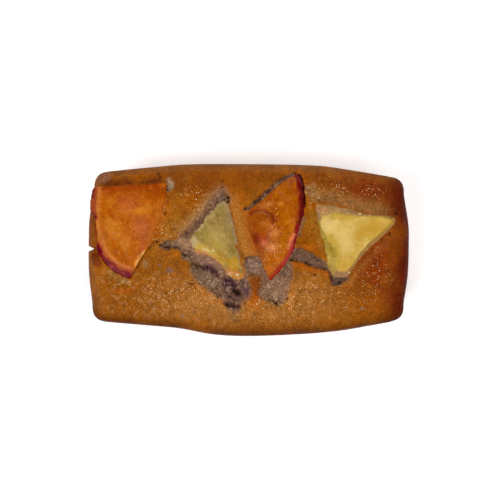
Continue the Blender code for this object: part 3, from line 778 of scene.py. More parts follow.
def top_tones(ground, crumb, dark, shade_around_slits, reach):
    """The colour of the crust's top at each place."""
    tones = flood((148, 82, 12), len(ground.x))
    ground.painted(tones, CRUST_MARKS)

    # Darker towards the right end and in a band at the back, painted shade along the front edge, and a
    # painted sheen at the back
    paint(tones, (94, 29, 0), 0.95 * ease(ground.x + 0.8 * ground.noise(3.2, 21), 35.5, 42.4))
    # Painted shade: the rounded border at the front turns away from the light
    front_shade = ease(reach, 1.4, BORDER + 0.6) * ease(-ground.y, 12.0, 20.0)
    paint(tones, (94, 42, 0), 0.9 * front_shade)
    paint(tones, (120, 56, 6), 0.36 * ease(ground.y, 16.0, 20.0) * (1.0 - ease(reach, 2.6, 4.4)))
    # Painted sheen: the light from behind reflected inside the back edge, and in a spot at its left
    # corner
    painted_sheen = ease(reach, 2.6, 4.6) * ease(ground.y, 14.0, 19.0)
    paint(tones, (134, 84, 44), 0.55 * painted_sheen * (1.0 - 0.7 * ease(ground.x, 22.0, 36.0)))
    paint(tones, (134, 94, 76), 0.55 * ground.spot((-40.6, 20.2), (2.4, 1.6), 30.0, 1.4))

    # Broad patches, pale flecks at the front, and mottling that is weaker where the crust is calm
    paint(tones, (180, 96, 4), 0.30 * ease(ground.noise(9.0, 20), 0.1, 0.6))
    paint(tones, (150, 96, 30), 0.30 * ease(ground.noise(4.5, 29), 0.15, 0.6))
    # The dimples are darkened in the mottling, as painted shade in them
    mottling_and_dimple_shade = ground.layered(CRUST_MOTTLING) - 0.22 * dimples_at(ground)
    pale = ease(-ground.y, 4.0, 9.0) * (1.0 - ease(ground.x, 18.0, 27.0)) * (1.0 - ease(reach, 2.0, 4.0))
    paint(tones, (190, 134, 82), 0.34 * ease(ground.noise(1.3, 36), 0.05, 0.55) * pale)
    calm = ground.line(((-4.0, 12.0), (-2.6, 5.0), (0.0, -1.0)), 4.0, 2.0)
    calm = np.maximum(1.2 * calm, 0.9 * ground.wash((-12.0, 19.0), (16.0, 6.0)))
    tones *= (1.0 + mottling_and_dimple_shade * (1.0 - 0.6 * calm))[:, None]

    # The torn crumb, with painted shade in its creases and light crumbs
    torn = flood((126, 93, 71), len(ground.x))
    ground.painted(torn, CRUMB_MARKS)
    torn *= (1.0 + ground.layered(TORN_MOTTLING))[:, None]
    paint(torn, (72, 46, 46), 0.5 * creases_at(ground))
    paint(torn, (182, 150, 122), 0.45 * ease(ground.noise(0.8, 25), 0.25, 0.6))

    # The torn crumb in the crust, with a pale fringe, and painted shade in the slits and holes and around
    # them
    fringe = np.exp(-((crumb - 0.35) / 0.25) ** 2) * ease(crumb, 0.02, 0.2)
    tones += (torn - tones) * crumb[:, None]
    paint(tones, (168, 122, 84), 0.3 * fringe)
    paint(tones, (74, 42, 24), 0.45 * shade_around_slits)
    paint(tones, (28, 16, 12), 0.88 * dark)
    return tones


def side_tones(x, y, z):
    """The colour of the cake's sides and base at each place."""
    places = np.column_stack([x, y, z])
    broad, mid, small = noise_at(places, 7.0, 30), noise_at(places, 2.4, 31), noise_at(places, 1.0, 32)
    tones = flood((146, 80, 20), len(x))
    paint(tones, (170, 104, 32), 0.4 + 0.5 * broad + 0.3 * mid)
    paint(tones, (112, 54, 8), 0.5 * ease(-mid - 0.5 * small, 0.1, 0.9))
    paint(tones, (120, 58, 10), 0.6 * ease(noise_at(places, 5.0, 33), 0.0, 0.7))
    # Painted shade in the pits of the side
    paint(tones, (96, 44, 8), 0.6 * ease(bubbles_at(places, *SIDE_PITS), 0.24, 0.08))
    tones *= (1.0 + 0.16 * small + 0.20 * noise_at(places, 0.55, 34))[:, None]
    paint(tones, (100, 46, 8), 0.75 * ease(z, 2.6, 0.2))
    paint(tones, (122, 60, 8), 0.8 * ease(z, 11.5, 15.4))
    return tones


def make_cake(material):
    """The baked cake, its crust torn open beside the fruit."""
    lines_along, lines_across = stations(HALF_LENGTH), stations(HALF_WIDTH)
    columns, rows = len(lines_along) - 1, len(lines_across) - 1
    shape = flat_bar(columns, rows, len(SIDE_HEIGHTS) + len(BASE_SHARES))
    cake = finished("cake", shape, material, "cake_body")

    # From the pattern's whole steps to places on the plain bar, and from there to the real outline
    pattern = np.rint(points_of(cake.data)).astype(int)
    flat_x, flat_y = lines_along[pattern[:, 0]], lines_across[pattern[:, 1]]
    ring = -pattern[:, 2]
    inner_x, inner_y, way_x, way_y = border_way(flat_x, flat_y)
    reach = np.maximum(np.abs(way_x), np.abs(way_y))
    turn = reach / np.maximum(rounded_length(way_x, way_y), 1e-9)
    plain_x, plain_y = inner_x + way_x * turn, inner_y + way_y * turn
    half_length, half_width = edges_at(flat_x, flat_y)
    x = plain_x * half_length / HALF_LENGTH
    y = plain_y * half_width / HALF_WIDTH

    # The side, drawn in by height, with its dents and the notch
    heights = np.array((RIM_HEIGHT, *SIDE_HEIGHTS) + (0.0,) * len(BASE_SHARES))[ring]
    shares = np.array((1.0,) * (len(SIDE_HEIGHTS) + 1) + BASE_SHARES)[ring]
    rough = np.column_stack([x, y, heights])
    dents = 0.12 * noise_at(rough, 3.0, 1) + 0.06 * noise_at(rough, 1.2, 2)
    dents += 0.14 * ease(bubbles_at(rough, *SIDE_PITS), 0.30, 0.10)
    dents = (0.16 + dents) * ease(heights, 0.0, 1.0) * ease(-heights, -RIM_HEIGHT, -15.6)
    notch = np.clip(1.0 - np.abs(y - NOTCH_PLACE + 0.4 * dents) / NOTCH_HALF_WIDTH, 0.0, 1.0)
    notch *= NOTCH_DEPTH * ease(heights, 12.5, 15.0) * ease(-x, 41.5, 44.0)
    inset = along_curve(SIDE_INSETS, heights) + dents
    x = x * shares * (1.0 - inset / HALF_LENGTH) + np.where(x < 0, notch, 0.0)
    y = y * shares * (1.0 - inset / HALF_WIDTH)

    # The top, with the beds of the fruit
    top = np.flatnonzero(ring == 0)
    ground = Ground(x[top], y[top])
    crumb, drop = crumb_fields(ground)
    dark, shade_around_slits, deep = dark_fields(ground)
    nearest = np.full(len(top), -FAR)
    seats = np.full(len(top), -FAR)
    for facts in FRUIT.values():
        within = inside_distance(ground.x, ground.y, smooth_outline(facts["outline"]))
        nearest = np.maximum(nearest, within)
        seats = np.maximum(seats, within - facts["seat"] + facts["wander"] * ground.ragged)
    joined = np.zeros(len(top))
    for points, width, reached in OVERLAPS:
        seats -= reached * ground.line(points, width, width, 1.0)
        joined = np.maximum(joined, ground.line(points, width + 1.6, width, 0.5))
    rise = top_relief(ground, crumb, drop, deep, nearest, seats, joined)
    held = ease(1.0 - reach[top] / BORDER, 0.0, 0.35)
    z = heights.copy()
    z[top] = smooth_top(plain_x[top], plain_y[top], reach[top]) + held * rise
    z = held_down(z)
    set_points(cake.data, np.column_stack([x, y, z]))

    # What the material reads: the tone, how torn the crust is, and how it shines, which sets its painted
    # glints
    tones = side_tones(x, y, z)
    torn, shine = np.zeros(len(x)), np.zeros(len(x))
    tones_beside = tones[top]
    tones[top] = top_tones(ground, crumb, dark, shade_around_slits, reach[top])
    # Painted shade: darker towards the rim, where the rounded border turns from the light
    tones[top] *= (1.0 - 0.15 * ease(reach[top], 0.6 * BORDER, BORDER))[:, None]
    rim = ease(reach[top], 0.97 * BORDER, BORDER)[:, None]
    tones[top] += 0.25 * rim * (tones_beside - tones[top])
    torn[top] = np.maximum(crumb, dark)
    shine[top] = 0.15 + 0.75 * sum(ground.wash(at, size) for at, size in SHINE_SPOTS)
    shine[top] *= 1.0 - 0.8 * ease(reach[top], 0.4 * BORDER, BORDER)
    set_field(cake.data, "tone", tones)
    set_field(cake.data, "crumb", torn)
    set_field(cake.data, "shine", shine)


# Materials

# The size of the fine grain of the crust and of the fruit
CRUST_GRAIN = 0.33
FRUIT_GRAIN = 0.38

# How high that grain stands
CRUST_BUMP = 0.18
FRUIT_BUMP = 0.1

# What the grain multiplies the tone by in its dark and its light parts, the light parts whitened as
# painted highlights: of crust, of torn crumb
DARK_GRAINS = ((0.66, 0.50, 0.18, 1.0), (0.60, 0.58, 0.56, 1.0))
LIGHT_GRAINS = ((1.58, 1.88, 3.0, 1.0), (1.70, 1.68, 1.66, 1.0))
UNCHANGED = (1.0, 1.0, 1.0, 1.0)

# Pores painted dark as shade, painted glints of oil and of juice: spacing, radius, share of the places
# that have one
PORES = (1.1, 0.20, 0.3)
CRUST_GLINTS = (0.60, 0.20, 0.45)
FRUIT_GLINTS = (0.56, 0.21, 0.65)


def feed(tree, node, inputs):
    """Links a node's inputs to other sockets, or sets them to constants."""
    for name, value in inputs.items():
        if isinstance(value, bpy.types.NodeSocket):
            tree.links.new(value, node.inputs[name])
        else:
            node.inputs[name].default_value = value


def add(tree, kind, inputs=None, **settings):
    """A shader node with its inputs and settings."""
    made = tree.nodes.new(kind)
    for name, value in settings.items():
        setattr(made, name, value)
    feed(tree, made, inputs or {})
    return made


def new_material(name):
    """A material, its node tree and its shader."""
    material = bpy.data.materials.new(name)
    material.use_nodes = True
    tree = material.node_tree
    return material, tree, tree.nodes["Principled BSDF"]


def coordinates(tree):
    """Object coordinates in millimetres."""
    place = add(tree, "ShaderNodeTexCoord").outputs["Object"]
    return add(
        tree, "ShaderNodeVectorMath", {0: place, 1: (1 / MM, 1 / MM, 1 / MM)}, operation="MULTIPLY"
    ).outputs[0]


def field(tree, name, socket="Fac"):
    """A field stored on the mesh."""
    return add(tree, "ShaderNodeAttribute", attribute_name=name).outputs[socket]


def sum_of(tree, first, second):
    """Two numbers added."""
    return add(tree, "ShaderNodeMath", {0: first, 1: second}, operation="ADD").outputs[0]


def product(tree, first, second):
    """Two numbers multiplied."""
    return add(tree, "ShaderNodeMath", {0: first, 1: second}, operation="MULTIPLY").outputs[0]


def grain(tree, place, size, detail=2.0):
    """Noise of 0 to 1 with blobs of the given size."""
    return add(
        tree, "ShaderNodeTexNoise", {"Vector": place, "Scale": 1.0 / size, "Detail": detail}
    ).outputs["Fac"]


def mapped(tree, value, low, high, to_low=0.0, to_high=1.0):
    """A number carried from one range to another, held at both ends."""
    return add(
        tree, "ShaderNodeMapRange",
        {"Value": value, "From Min": low, "From Max": high, "To Min": to_low, "To Max": to_high},
    ).outputs["Result"]


def mixed(tree, share, first, second, blend="MIX"):
    """Two colours mixed by a share."""
    inputs = {0: share, 6: first, 7: second}
    return add(tree, "ShaderNodeMix", inputs, data_type="RGBA", blend_type=blend).outputs[2]


def bumped(tree, height, strength, distance):
    """Fine relief for a shader, from a height of 0 to 1 and the distance that 1 stands for."""
    facts = {"Height": height, "Strength": strength, "Distance": distance}
    return add(tree, "ShaderNodeBump", facts).outputs[0]


def spots(tree, place, size, radius, share):
    """Scattered round spots, 1 in their middles, in a share of the cells of the given size."""
    cells = add(tree, "ShaderNodeTexVoronoi", {"Vector": place, "Scale": 1.0 / size})
    inside = mapped(tree, cells.outputs["Distance"], radius / size, 0.3 * radius / size)
    chance = add(tree, "ShaderNodeSeparateColor", {0: cells.outputs["Color"]}).outputs[0]
    chosen = mapped(tree, chance, share, 0.3 * share)
    return product(tree, inside, chosen)


def glints(tree, place, size, radius, share):
    """Scattered small irregular glints, 1 in their middles."""
    bend = add(tree, "ShaderNodeTexNoise", {"Vector": place, "Scale": 1.0 / radius, "Detail": 1.0})
    moved = add(
        tree, "ShaderNodeVectorMath", {0: bend.outputs["Color"], 1: (2 * radius,) * 3, 2: place},
        operation="MULTIPLY_ADD",
    )
    return spots(tree, moved.outputs[0], size, radius, share)


def opaque(red, green, blue):
    """A surface colour with the fourth number that a colour socket takes."""
    return (*tone(red, green, blue), 1.0)


def crust_material():
    """Baked crust: mottled, finely pored with painted shade in its pores, with painted oily glints, and
    dull where the crumb is torn.
    """
    material, tree, shader = new_material("baked_crust")
    place = coordinates(tree)
    crumb, shine = field(tree, "crumb"), field(tree, "shine")
    fine = grain(tree, place, CRUST_GRAIN, 4.0)
    dark_grain, light_grain = mixed(tree, crumb, *DARK_GRAINS), mixed(tree, crumb, *LIGHT_GRAINS)
    # The grain: darker pits, and lighter grains whitened as painted highlights, strongest where the crust
    # shines
    grains = mixed(tree, mapped(tree, fine, 0.37, 0.46), dark_grain, UNCHANGED)
    grains = mixed(tree, mapped(tree, fine, 0.55, 0.67), grains, light_grain)
    grains = mixed(tree, mapped(tree, shine, 0.0, 0.6, 0.6, 1.0), UNCHANGED, grains)
    colour = mixed(tree, 1.0, field(tree, "tone", "Color"), grains, "MULTIPLY")
    # Pores, painted dark as the shade in them
    pores = spots(tree, place, *PORES)
    colour = mixed(tree, product(tree, pores, 0.55), colour, opaque(84, 36, 4))
    whole = mapped(tree, crumb, 0.0, 0.6, 1.0, 0.9)
    # Painted glints of oil
    glint_strength = product(tree, mapped(tree, shine, 0.1, 0.9), whole)
    painted_glints = product(tree, glints(tree, place, *CRUST_GLINTS), glint_strength)
    colour = mixed(tree, product(tree, painted_glints, 1.2), colour, opaque(255, 224, 164))
    rough = mapped(tree, grain(tree, place, 1.6), 0.35, 0.65, 0.30, 0.45)
    rough = add(tree, "ShaderNodeMix", {0: crumb, 2: rough, 3: 0.85}).outputs[0]
    height = sum_of(tree, fine, product(tree, pores, -1.2))
    height = sum_of(tree, height, product(tree, painted_glints, 0.4))
    feed(tree, shader, {
        "Base Color": colour,
        "Roughness": rough,
        "Normal": bumped(tree, height, 1.0, CRUST_BUMP * MM),
        "Specular IOR Level": 0.035,
    })
    return material


def fruit_material(name, soft, uneven):
    """Moist fruit flesh: its painted tone with fine mottling and painted glints of juice."""
    material, tree, shader = new_material(name)
    place = coordinates(tree)
    fine = grain(tree, place, FRUIT_GRAIN, 4.0)
    patches = mapped(tree, fine, 0.3, 0.7, 1.0 - uneven, 1.0 + uneven)
    colour = mixed(tree, 1.0, field(tree, "tone", "Color"), patches, "MULTIPLY")
    shine = field(tree, "shine")
    # Painted glints of juice
    painted_glints = product(tree, glints(tree, place, *FRUIT_GLINTS), mapped(tree, shine, 0.15, 0.8))
    colour = mixed(tree, product(tree, painted_glints, 1.05), colour, opaque(255, 226, 168))
    height = sum_of(tree, fine, product(tree, painted_glints, 0.8))
    feed(tree, shader, {
        "Base Color": colour,
        "Roughness": mapped(tree, shine, 0.0, 1.0, 0.24, 0.14),
        "Normal": bumped(tree, height, 0.4, FRUIT_BUMP * MM),
        "Specular IOR Level": 0.05,
        "Subsurface Weight": soft,
        "Subsurface Radius": (1.0, 0.5, 0.2),
        "Subsurface Scale": 0.8 * MM,
    })
    return material


# The fruit

# The rings of a piece's top and how far out they reach, and the rest of its profile: share of the
# way out, share of its height
TOP_RINGS = 52
TOP_REACH = 0.97
EDGE_PROFILE = (
    (0.985, 0.985), (0.996, 0.94), (1.0, 0.87), (1.0, 0.74), (1.0, 0.6), (1.0, 0.42), (1.0, 0.24),
    (0.985, 0.1), (0.95, 0.02), (0.85, 0.0), (0.6, 0.0), (0.3, 0.0), (0.0, 0.0),
)

# Colours of the fruit, as marks that are painted in this order
PLUM_LEFT_MARKS = (
    ((196, 100, 50), 0.75, "wash", (-33.4, 13.2), (3.2, 3), 20.0),
    ((186, 96, 58), 0.75, "wash", (-29.4, 6.4), (2.8, 3.4), 10.0),
    ((186, 86, 52), 0.7, "wash", (-29.4, 1.4), (1.3, 1.9)),
    ((210, 130, 34), 0.65, "spot", (-29, 11.2), (3.2, 1.4), 10.0, 1.2),
    ((206, 124, 36), 0.6, "spot", (-37.6, 5.6), (3.4, 2.6), -30.0, 1.4),
    ((204, 120, 40), 0.5, "spot", (-34.6, 2.4), (2.2, 1.8), 0.0, 1.4),
    ((152, 60, 0), 0.8, "wash", (-25.6, 16.4), (4, 2.8)),
    ((146, 54, 0), 0.85, "line", ((-26, 18), (-34, 17.4), (-41, 17)), 2.8, 2.4, 1.4),
    ((172, 82, 24), 0.4, "wash", (-27.6, 8.4), (2.6, 4.2)),
    ((164, 74, 6), 0.5, "wash", (-33, 15.8), (7, 2.4)),
    ((174, 84, 4), 0.75, "spot", (-35.6, -1.4), (3.2, 1.9), -38.0, 1.2),
    ((178, 92, 6), 0.75, "line", ((-40.4, 15.4), (-40.9, 11), (-40.6, 6), (-39.2, 1.6)), 1.8, 1.4, 1.0),
    ((164, 72, 10), 0.7, "spot", (-39.3, 16.6), (1.3, 0.8)),
    # Painted highlight along the slice's wet lower right edge
    ((238, 166, 88), 0.85, "line", ((-28.9, -0.5), (-30.2, -2.4), (-31.4, -4.4)), 0.8, 0.8, 1.0),
    ((176, 98, 34), 0.8, "line", ((-23.6, 12), (-24.6, 8.8), (-26.1, 5.5), (-27.6, 1.8)),
     2.4, 2.0, 1.2),
    ((146, 60, 4), 0.6, "line", ((-22.9, 18), (-23, 14), (-23.6, 11)), 0.7, 0.6, 1.4),
)
PLUM_LEFT_LINE = (
    (-41.7, 17.4), (-42, 13.8), (-42.2, 10.9), (-42.1, 7.7), (-41.6, 4.2), (-40.7, 1.4),
    (-39.3, -1.1), (-37.2, -3.5), (-34.8, -4.9), (-32.6, -5.7),
)
PLUM_LEFT_SKIN = (
    ((152, 64, 42), 0.85, "line", ((-43.1, 17.6), (-43.3, 14), (-43.4, 11), (-42.9, 8.8)),
     1.7, 0.8, 1.2),
    ((100, 20, 26), 0.92, "line", ((-43.7, 17.2), (-44.2, 14.4), (-44.4, 12.2), (-43.9, 10.2),
     (-43, 8.8)), 1.1, 0.6, 1.8),
    ((170, 76, 44), 0.8, "line", ((-42, 2), (-40.7, -0.9), (-38.4, -3.8), (-35.8, -5.4),
     (-32.7, -6.5)), 1.9, 0.8, 1.4),
    ((116, 8, 30), 0.95, "line", ((-42.4, 1.2), (-41.1, -1.4), (-39, -3.9), (-36.4, -5.9),
     (-33, -7.3)), 1.7, 0.6, 1.0),
    ((104, 8, 32), 0.6, "spot", (-41.6, 0), (0.8, 1.1), 30.0),
    ((98, 10, 34), 0.6, "spot", (-39.4, -3.6), (1.1, 0.7), -45.0),
    ((104, 14, 34), 0.6, "spot", (-37, -5.9), (0.9, 0.5), -35.0),
    ((168, 56, 44), 0.6, "spot", (-38.2, -4.5), (0.7, 0.6), -30.0),
    ((158, 46, 36), 0.6, "spot", (-35.2, -6.3), (0.9, 0.5), -25.0),
    ((92, 22, 38), 0.7, "spot", (-33.6, -7.2), (0.8, 0.4), -20.0),
)
PLUM_RIGHT_MARKS = (
    ((164, 84, 0), 0.8, "wash", (9.6, 15.6), (4.4, 3), 50.0),
    ((180, 96, 2), 0.7, "wash", (11.4, 11), (2, 4)),
    ((158, 82, 26), 0.9, "line", ((-0.6, 9.6), (0.2, 5), (1.6, 0.6), (3, -2.4)), 3.0, 2.6, 1.6),
    ((172, 96, 34), 0.8, "line", ((3.2, -3), (5, -6.8)), 1.8, 1.4, 1.2),
    ((150, 72, 0), 0.85, "wash", (3.8, 8.6), (3, 2.6)),
    # Painted shade in the fold's groove, to the spot at (6.8, 8.2)
    ((128, 44, 0), 0.85, "line", ((0.4, 10.2), (1.5, 10.6), (4, 10.9), (6.3, 9.8), (7.1, 8.5),
     (6.6, 7.4)), 0.9, 1.2, 1.2),
    ((126, 40, 0), 0.8, "spot", (1, 10.1), (1.2, 0.7), 0.0, 0.8),
    ((132, 44, 0), 0.7, "spot", (6.8, 8.2), (0.8, 1.2), 0.0, 0.8),
    # Painted highlight where the wet flesh glints
    ((204, 122, 54), 0.7, "wash", (4.8, 12.4), (2.2, 0.9), 10.0),
    ((208, 124, 40), 0.6, "spot", (8.6, 13), (1.4, 0.8), 0.0, 1.0),
    # Painted highlight
    ((206, 116, 50), 0.6, "wash", (5.2, 6.9), (2, 0.9), -15.0),
    # Painted shade in a hollow
    ((128, 40, 0), 0.95, "wash", (2, 3), (1.6, 2.4)),
    # Painted highlight
    ((214, 128, 66), 0.8, "wash", (7, 4.6), (1.7, 1.4)),
    ((166, 94, 0), 0.8, "spot", (8.7, 3.6), (1.2, 0.6), 0.0, 1.0),
    ((176, 66, 30), 0.8, "wash", (4.2, 3.2), (1, 1.5), 15.0),
    # Painted highlights on the wet flesh, down to (6, -5.4)
    ((206, 104, 78), 0.8, "wash", (4.2, 1.8), (0.9, 0.9)),
    ((226, 142, 84), 0.85, "wash", (6.4, 0.7), (1.7, 1.3)),
    ((204, 112, 24), 0.7, "wash", (8.2, -2.4), (2, 2.2), 30.0),
    ((198, 104, 40), 0.75, "wash", (6, -5.4), (1.2, 1.5)),
    ((208, 112, 40), 0.6, "line", ((12.8, 8.6), (12.2, 6), (11.3, 3.2), (10.3, 0.8), (9.2, -1.6)),
     1.0, 1.2, 1.2),
    ((200, 120, 8), 0.6, "wash", (10.8, 7.6), (1.2, 3), 15.0),
    ((196, 116, 10), 0.6, "wash", (9.2, 1.6), (0.9, 2.2), -20.0),
    ((186, 106, 4), 0.4, "wash", (8.4, 16.2), (2.4, 1.2), 45.0),
    ((156, 64, 6), 0.6, "spot", (10.6, 13.2), (0.8, 0.6), 0.0, 1.0),
    ((156, 60, 4), 0.6, "spot", (5.8, 14.6), (1.2, 0.5), 30.0, 1.0),
    ((158, 66, 4), 0.6, "spot", (8.6, 9.4), (0.9, 0.6), 0.0, 1.0),
    ((160, 66, 6), 0.6, "spot", (10.4, 6.4), (0.6, 1.2), -20.0, 1.0),
)
PLUM_RIGHT_SKIN = (
    ((144, 48, 28), 0.8, "line", ((13.1, 20.6), (13.8, 17.4), (14.1, 14), (13.9, 10.6), (13.2, 8)),
     0.7, 0.5, 1.0),
    ((104, 0, 14), 0.96, "line", ((13.5, 21), (14.3, 18.4), (14.8, 15.4), (14.9, 12.6), (14.7, 10.4)),
     1.5, 0.8, 0.9),
    ((44, 0, 8), 0.97, "line", ((14.4, 21.4), (15.2, 18.4), (15.7, 15.4), (15.8, 12.4), (15.5, 10)),
     1.5, 0.9, 0.9),
    ((96, 6, 12), 0.95, "line", ((15.2, 12), (14.9, 10.2), (14.1, 7.9), (13.4, 6)), 1.6, 0.6, 0.9),
    ((140, 34, 46), 0.5, "spot", (14.3, 19.2), (0.3, 1.2), 15.0, 0.8),
    ((138, 26, 28), 0.95, "line", ((13.7, 6.8), (13.1, 4.6), (12.8, 2.6), (12.2, 0.6)), 1.1, 0.5, 0.9),
    ((222, 124, 78), 0.7, "line", ((12.4, 4.4), (11.8, 2.4), (10.9, 0.2)), 0.8, 0.6, 0.8),
    ((170, 48, 44), 0.92, "line", ((12.6, 1.2), (11.4, -1.2), (10.2, -3.4), (8.6, -5.4)),
     1.5, 1.0, 1.1),
    ((108, 16, 28), 0.9, "line", ((13.2, 3.4), (12.7, 0.5), (11.7, -2), (10.3, -4.2), (8.4, -6.4)),
     0.5, 0.5, 0.6),
    ((158, 46, 22), 0.9, "line", ((9, -5), (7.4, -6.6), (6.1, -8.2)), 1.8, 1.1, 1.1),
    ((124, 26, 22), 0.8, "line", ((8.6, -6.2), (7.4, -7.4), (6.3, -8.4)), 0.6, 0.5, 0.6),
)
PLUM_RIGHT_FOLDS = (
    (-0.24, "line", ((1.5, 10.5), (4, 11), (6.3, 9.9), (7.1, 8.5), (6.4, 7.5)), 1.0, 1.2, 0.8),
    (0.16, "wash", (4, 9.3), (2.2, 1.5)),
    (-0.20, "line", PLUM_RIGHT_SEAM, 3.0, 2.8, 0.6),
    (0.20, "wash", (4.9, 3.4), (1.3, 2), 20.0),
    (-0.12, "line", ((6.4, 5.4), (8.6, 2.6), (9.4, -0.6)), 1.0, 1.4),
    (-0.12, "line", ((5, -0.6), (7.2, -2.2), (8.6, -4)), 1.0, 1.2),
    (0.20, "line", ((8, 15.6), (10.6, 12), (10.8, 8.6)), 2.2, 2.0),
)
PINEAPPLE_LEFT_MARKS = (
    # A pale strip, lighter still as a painted highlight
    ((198, 172, 116), 0.9, "line", ((-12.2, 8.4), (-13.2, 7), (-14.4, 5.6)), 1.2, 0.8, 1.0),
    ((184, 156, 100), 0.6, "spot", (-10.2, 10), (1.4, 0.9), 50.0),
    ((150, 128, 66), 0.6, "spot", (-8.6, 11.4), (1.2, 0.9)),
    ((136, 118, 56), 0.6, "spot", (-12.4, 4.4), (1.7, 1.1), -20.0),
    ((150, 126, 76), 0.5, "spot", (-6.2, 8.4), (1.4, 3), 15.0),
    ((196, 168, 118), 0.9, "spot", (-15.2, 2), (1.5, 2), 20.0, 1.0),
    ((196, 168, 86), 0.7, "wash", (-9.4, 3.6), (3, 2), -35.0),
    ((194, 162, 70), 0.6, "wash", (-8.6, 0.8), (3.4, 1.4), -30.0),
    ((134, 112, 42), 0.75, "spot", (-4.6, -0.2), (1.3, 1.1), 20.0, 1.0),
    ((144, 120, 60), 0.5, "spot", (-4.6, 4), (0.9, 2), 15.0),
    ((208, 170, 76), 0.9, "line", ((-14, 0.8), (-11.8, -0.2), (-9.4, -1.6), (-7.4, -3.4)),
     2.0, 1.2, 1.2),
    ((238, 214, 150), 0.8, "line", ((-12.8, 0.1), (-11.2, -0.3), (-10, -0.5)), 0.5, 0.4, 0.8),
    ((196, 146, 34), 0.9, "spot", (-4.2, -3.8), (1.9, 2.1), 20.0, 1.0),
    ((180, 132, 34), 0.7, "spot", (-7.4, -2.2), (1.9, 1.5), 0.0, 1.0),
    ((206, 134, 66), 0.92, "line", ((-16, -0.2), (-12.6, -1.2), (-9.6, -2.6), (-7.4, -4.6),
     (-5.6, -7)), 1.5, 1.0, 1.8),
    ((172, 126, 92), 0.8, "line", ((-16.6, 1.6), (-15.8, -0.8), (-12.6, -1.5), (-9.5, -3),
     (-7.2, -5.1)), 0.8, 0.6, 1.6),
    ((200, 128, 54), 0.95, "area", ((-6.2, -5.9), (-4.6, -5.5), (-2.8, -5.9), (-1.2, -6.4), (-0.4, -8),
     (-3, -9.8), (-5.6, -8.4)), 0.5, 1.2),
    ((226, 168, 116), 0.8, "spot", (-5.2, -6.8), (0.8, 0.8), 0.0, 1.2),
    ((206, 124, 34), 0.8, "spot", (-7, -5.2), (0.8, 0.6), 0.0, 1.0),
    # Painted glints at the tip
    ((248, 222, 196), 0.8, "spot", (-3.3, -6.9), (0.4, 0.22), 30.0, 0.5),
    ((244, 210, 168), 0.7, "spot", (-4.5, -6.3), (0.35, 0.2), -20.0, 0.5),
    ((240, 200, 150), 0.7, "spot", (-2.6, -7.9), (0.3, 0.2), 10.0, 0.5),
    ((156, 124, 90), 0.9, "line", ((-5.7, 12.6), (-4.8, 9.6), (-3.8, 5.6), (-2.7, 0.9), (-1.8, -3.6)),
     1.6, 0.8, 0.8),
    ((172, 148, 106), 0.7, "line", ((-5.4, 13.4), (-7, 13.4), (-10.8, 10.8), (-13.8, 7.2)),
     0.8, 0.8, 0.8),
)
PINEAPPLE_RIGHT_MARKS = (
    ((232, 200, 128), 0.85, "wash", (22.4, 7.2), (2.2, 2.6)),
    ((226, 192, 112), 0.85, "wash", (26.4, 4.6), (3, 2.6), 20.0),
    ((230, 200, 126), 0.5, "wash", (27.4, 1.6), (2, 3.4), -6.0),
    ((196, 156, 52), 0.75, "wash", (28.6, -4), (1.4, 1.6)),
    ((198, 158, 62), 0.75, "spot", (26.8, 9.4), (4, 1), 0.0, 1.2),
    ((200, 149, 40), 0.8, "wash", (35.4, 6.4), (4.2, 2.2), 25.0),
    ((196, 150, 48), 0.7, "wash", (31.4, 4.8), (1.8, 2.8), -30.0),
    ((220, 180, 84), 0.6, "wash", (37.6, 8.4), (2, 1)),
    ((182, 138, 38), 0.8, "line", ((40.4, 8.4), (37, 4.6), (33, 0.6), (29.6, -4)), 0.9, 0.9, 0.8),
    ((206, 160, 62), 0.8, "wash", (26.4, -4.4), (1.8, 1.8)),
    ((176, 140, 46), 0.7, "line", ((23, 10.6), (29, 10.2), (35, 9.6), (40, 8.8)), 1.0, 0.9, 1.0),
    ((190, 158, 48), 0.6, "line", ((22.6, 3.6), (24.6, 0.6), (25.2, -2), (24.6, -4.6)), 1.2, 1.2, 1.0),
    ((184, 148, 40), 0.5, "wash", (22.8, 9), (1, 1)),
    ((136, 112, 30), 0.7, "line", ((38.6, 9.3), (40.8, 8.6)), 0.7, 0.5, 0.8),
)
PINEAPPLE_RIGHT_SIDES = (
    ((164, 136, 46), 0.95, "area", ((18.6, 8.6), (21.4, 6.6), (24.6, 1.4), (25.6, -3.6), (23.6, -6.4),
     (19, -3)), 0.6, 1.2),
    ((142, 122, 32), 0.7, "spot", (23.4, 0.8), (0.8, 2.6), 28.0, 1.0),
    ((190, 158, 74), 0.7, "spot", (22.6, -2.6), (1, 2.2), 15.0, 1.0),
    ((176, 124, 72), 0.9, "spot", (20, 11.4), (2.4, 1.8), -20.0, 1.2),
    ((152, 118, 90), 0.7, "spot", (18.8, 9.8), (0.8, 1.8), 0.0, 1.2),
    ((202, 118, 22), 0.85, "line", ((19, 13.4), (21, 13), (23.4, 12.5)), 0.7, 0.6, 1.0),
    ((150, 112, 58), 0.9, "line", ((21, 12.8), (27, 11.9), (31, 11), (36, 10.1), (41, 8.6)),
     1.8, 1.4, 1.4),
    ((158, 122, 56), 0.7, "line", ((18.4, 9.8), (19.3, 5.6), (20.2, 1.4), (21.4, -3.2)), 0.9, 0.8, 1.0),
    ((176, 130, 90), 0.9, "line", ((23.6, -7.2), (26, -7.4), (28.4, -6.4)), 1.6, 0.8, 1.2),
    ((178, 134, 74), 0.9, "line", ((28.6, -5.4), (32.6, -0.6), (37.6, 4), (40.6, 7.2)), 1.6, 1.2, 1.2),
)


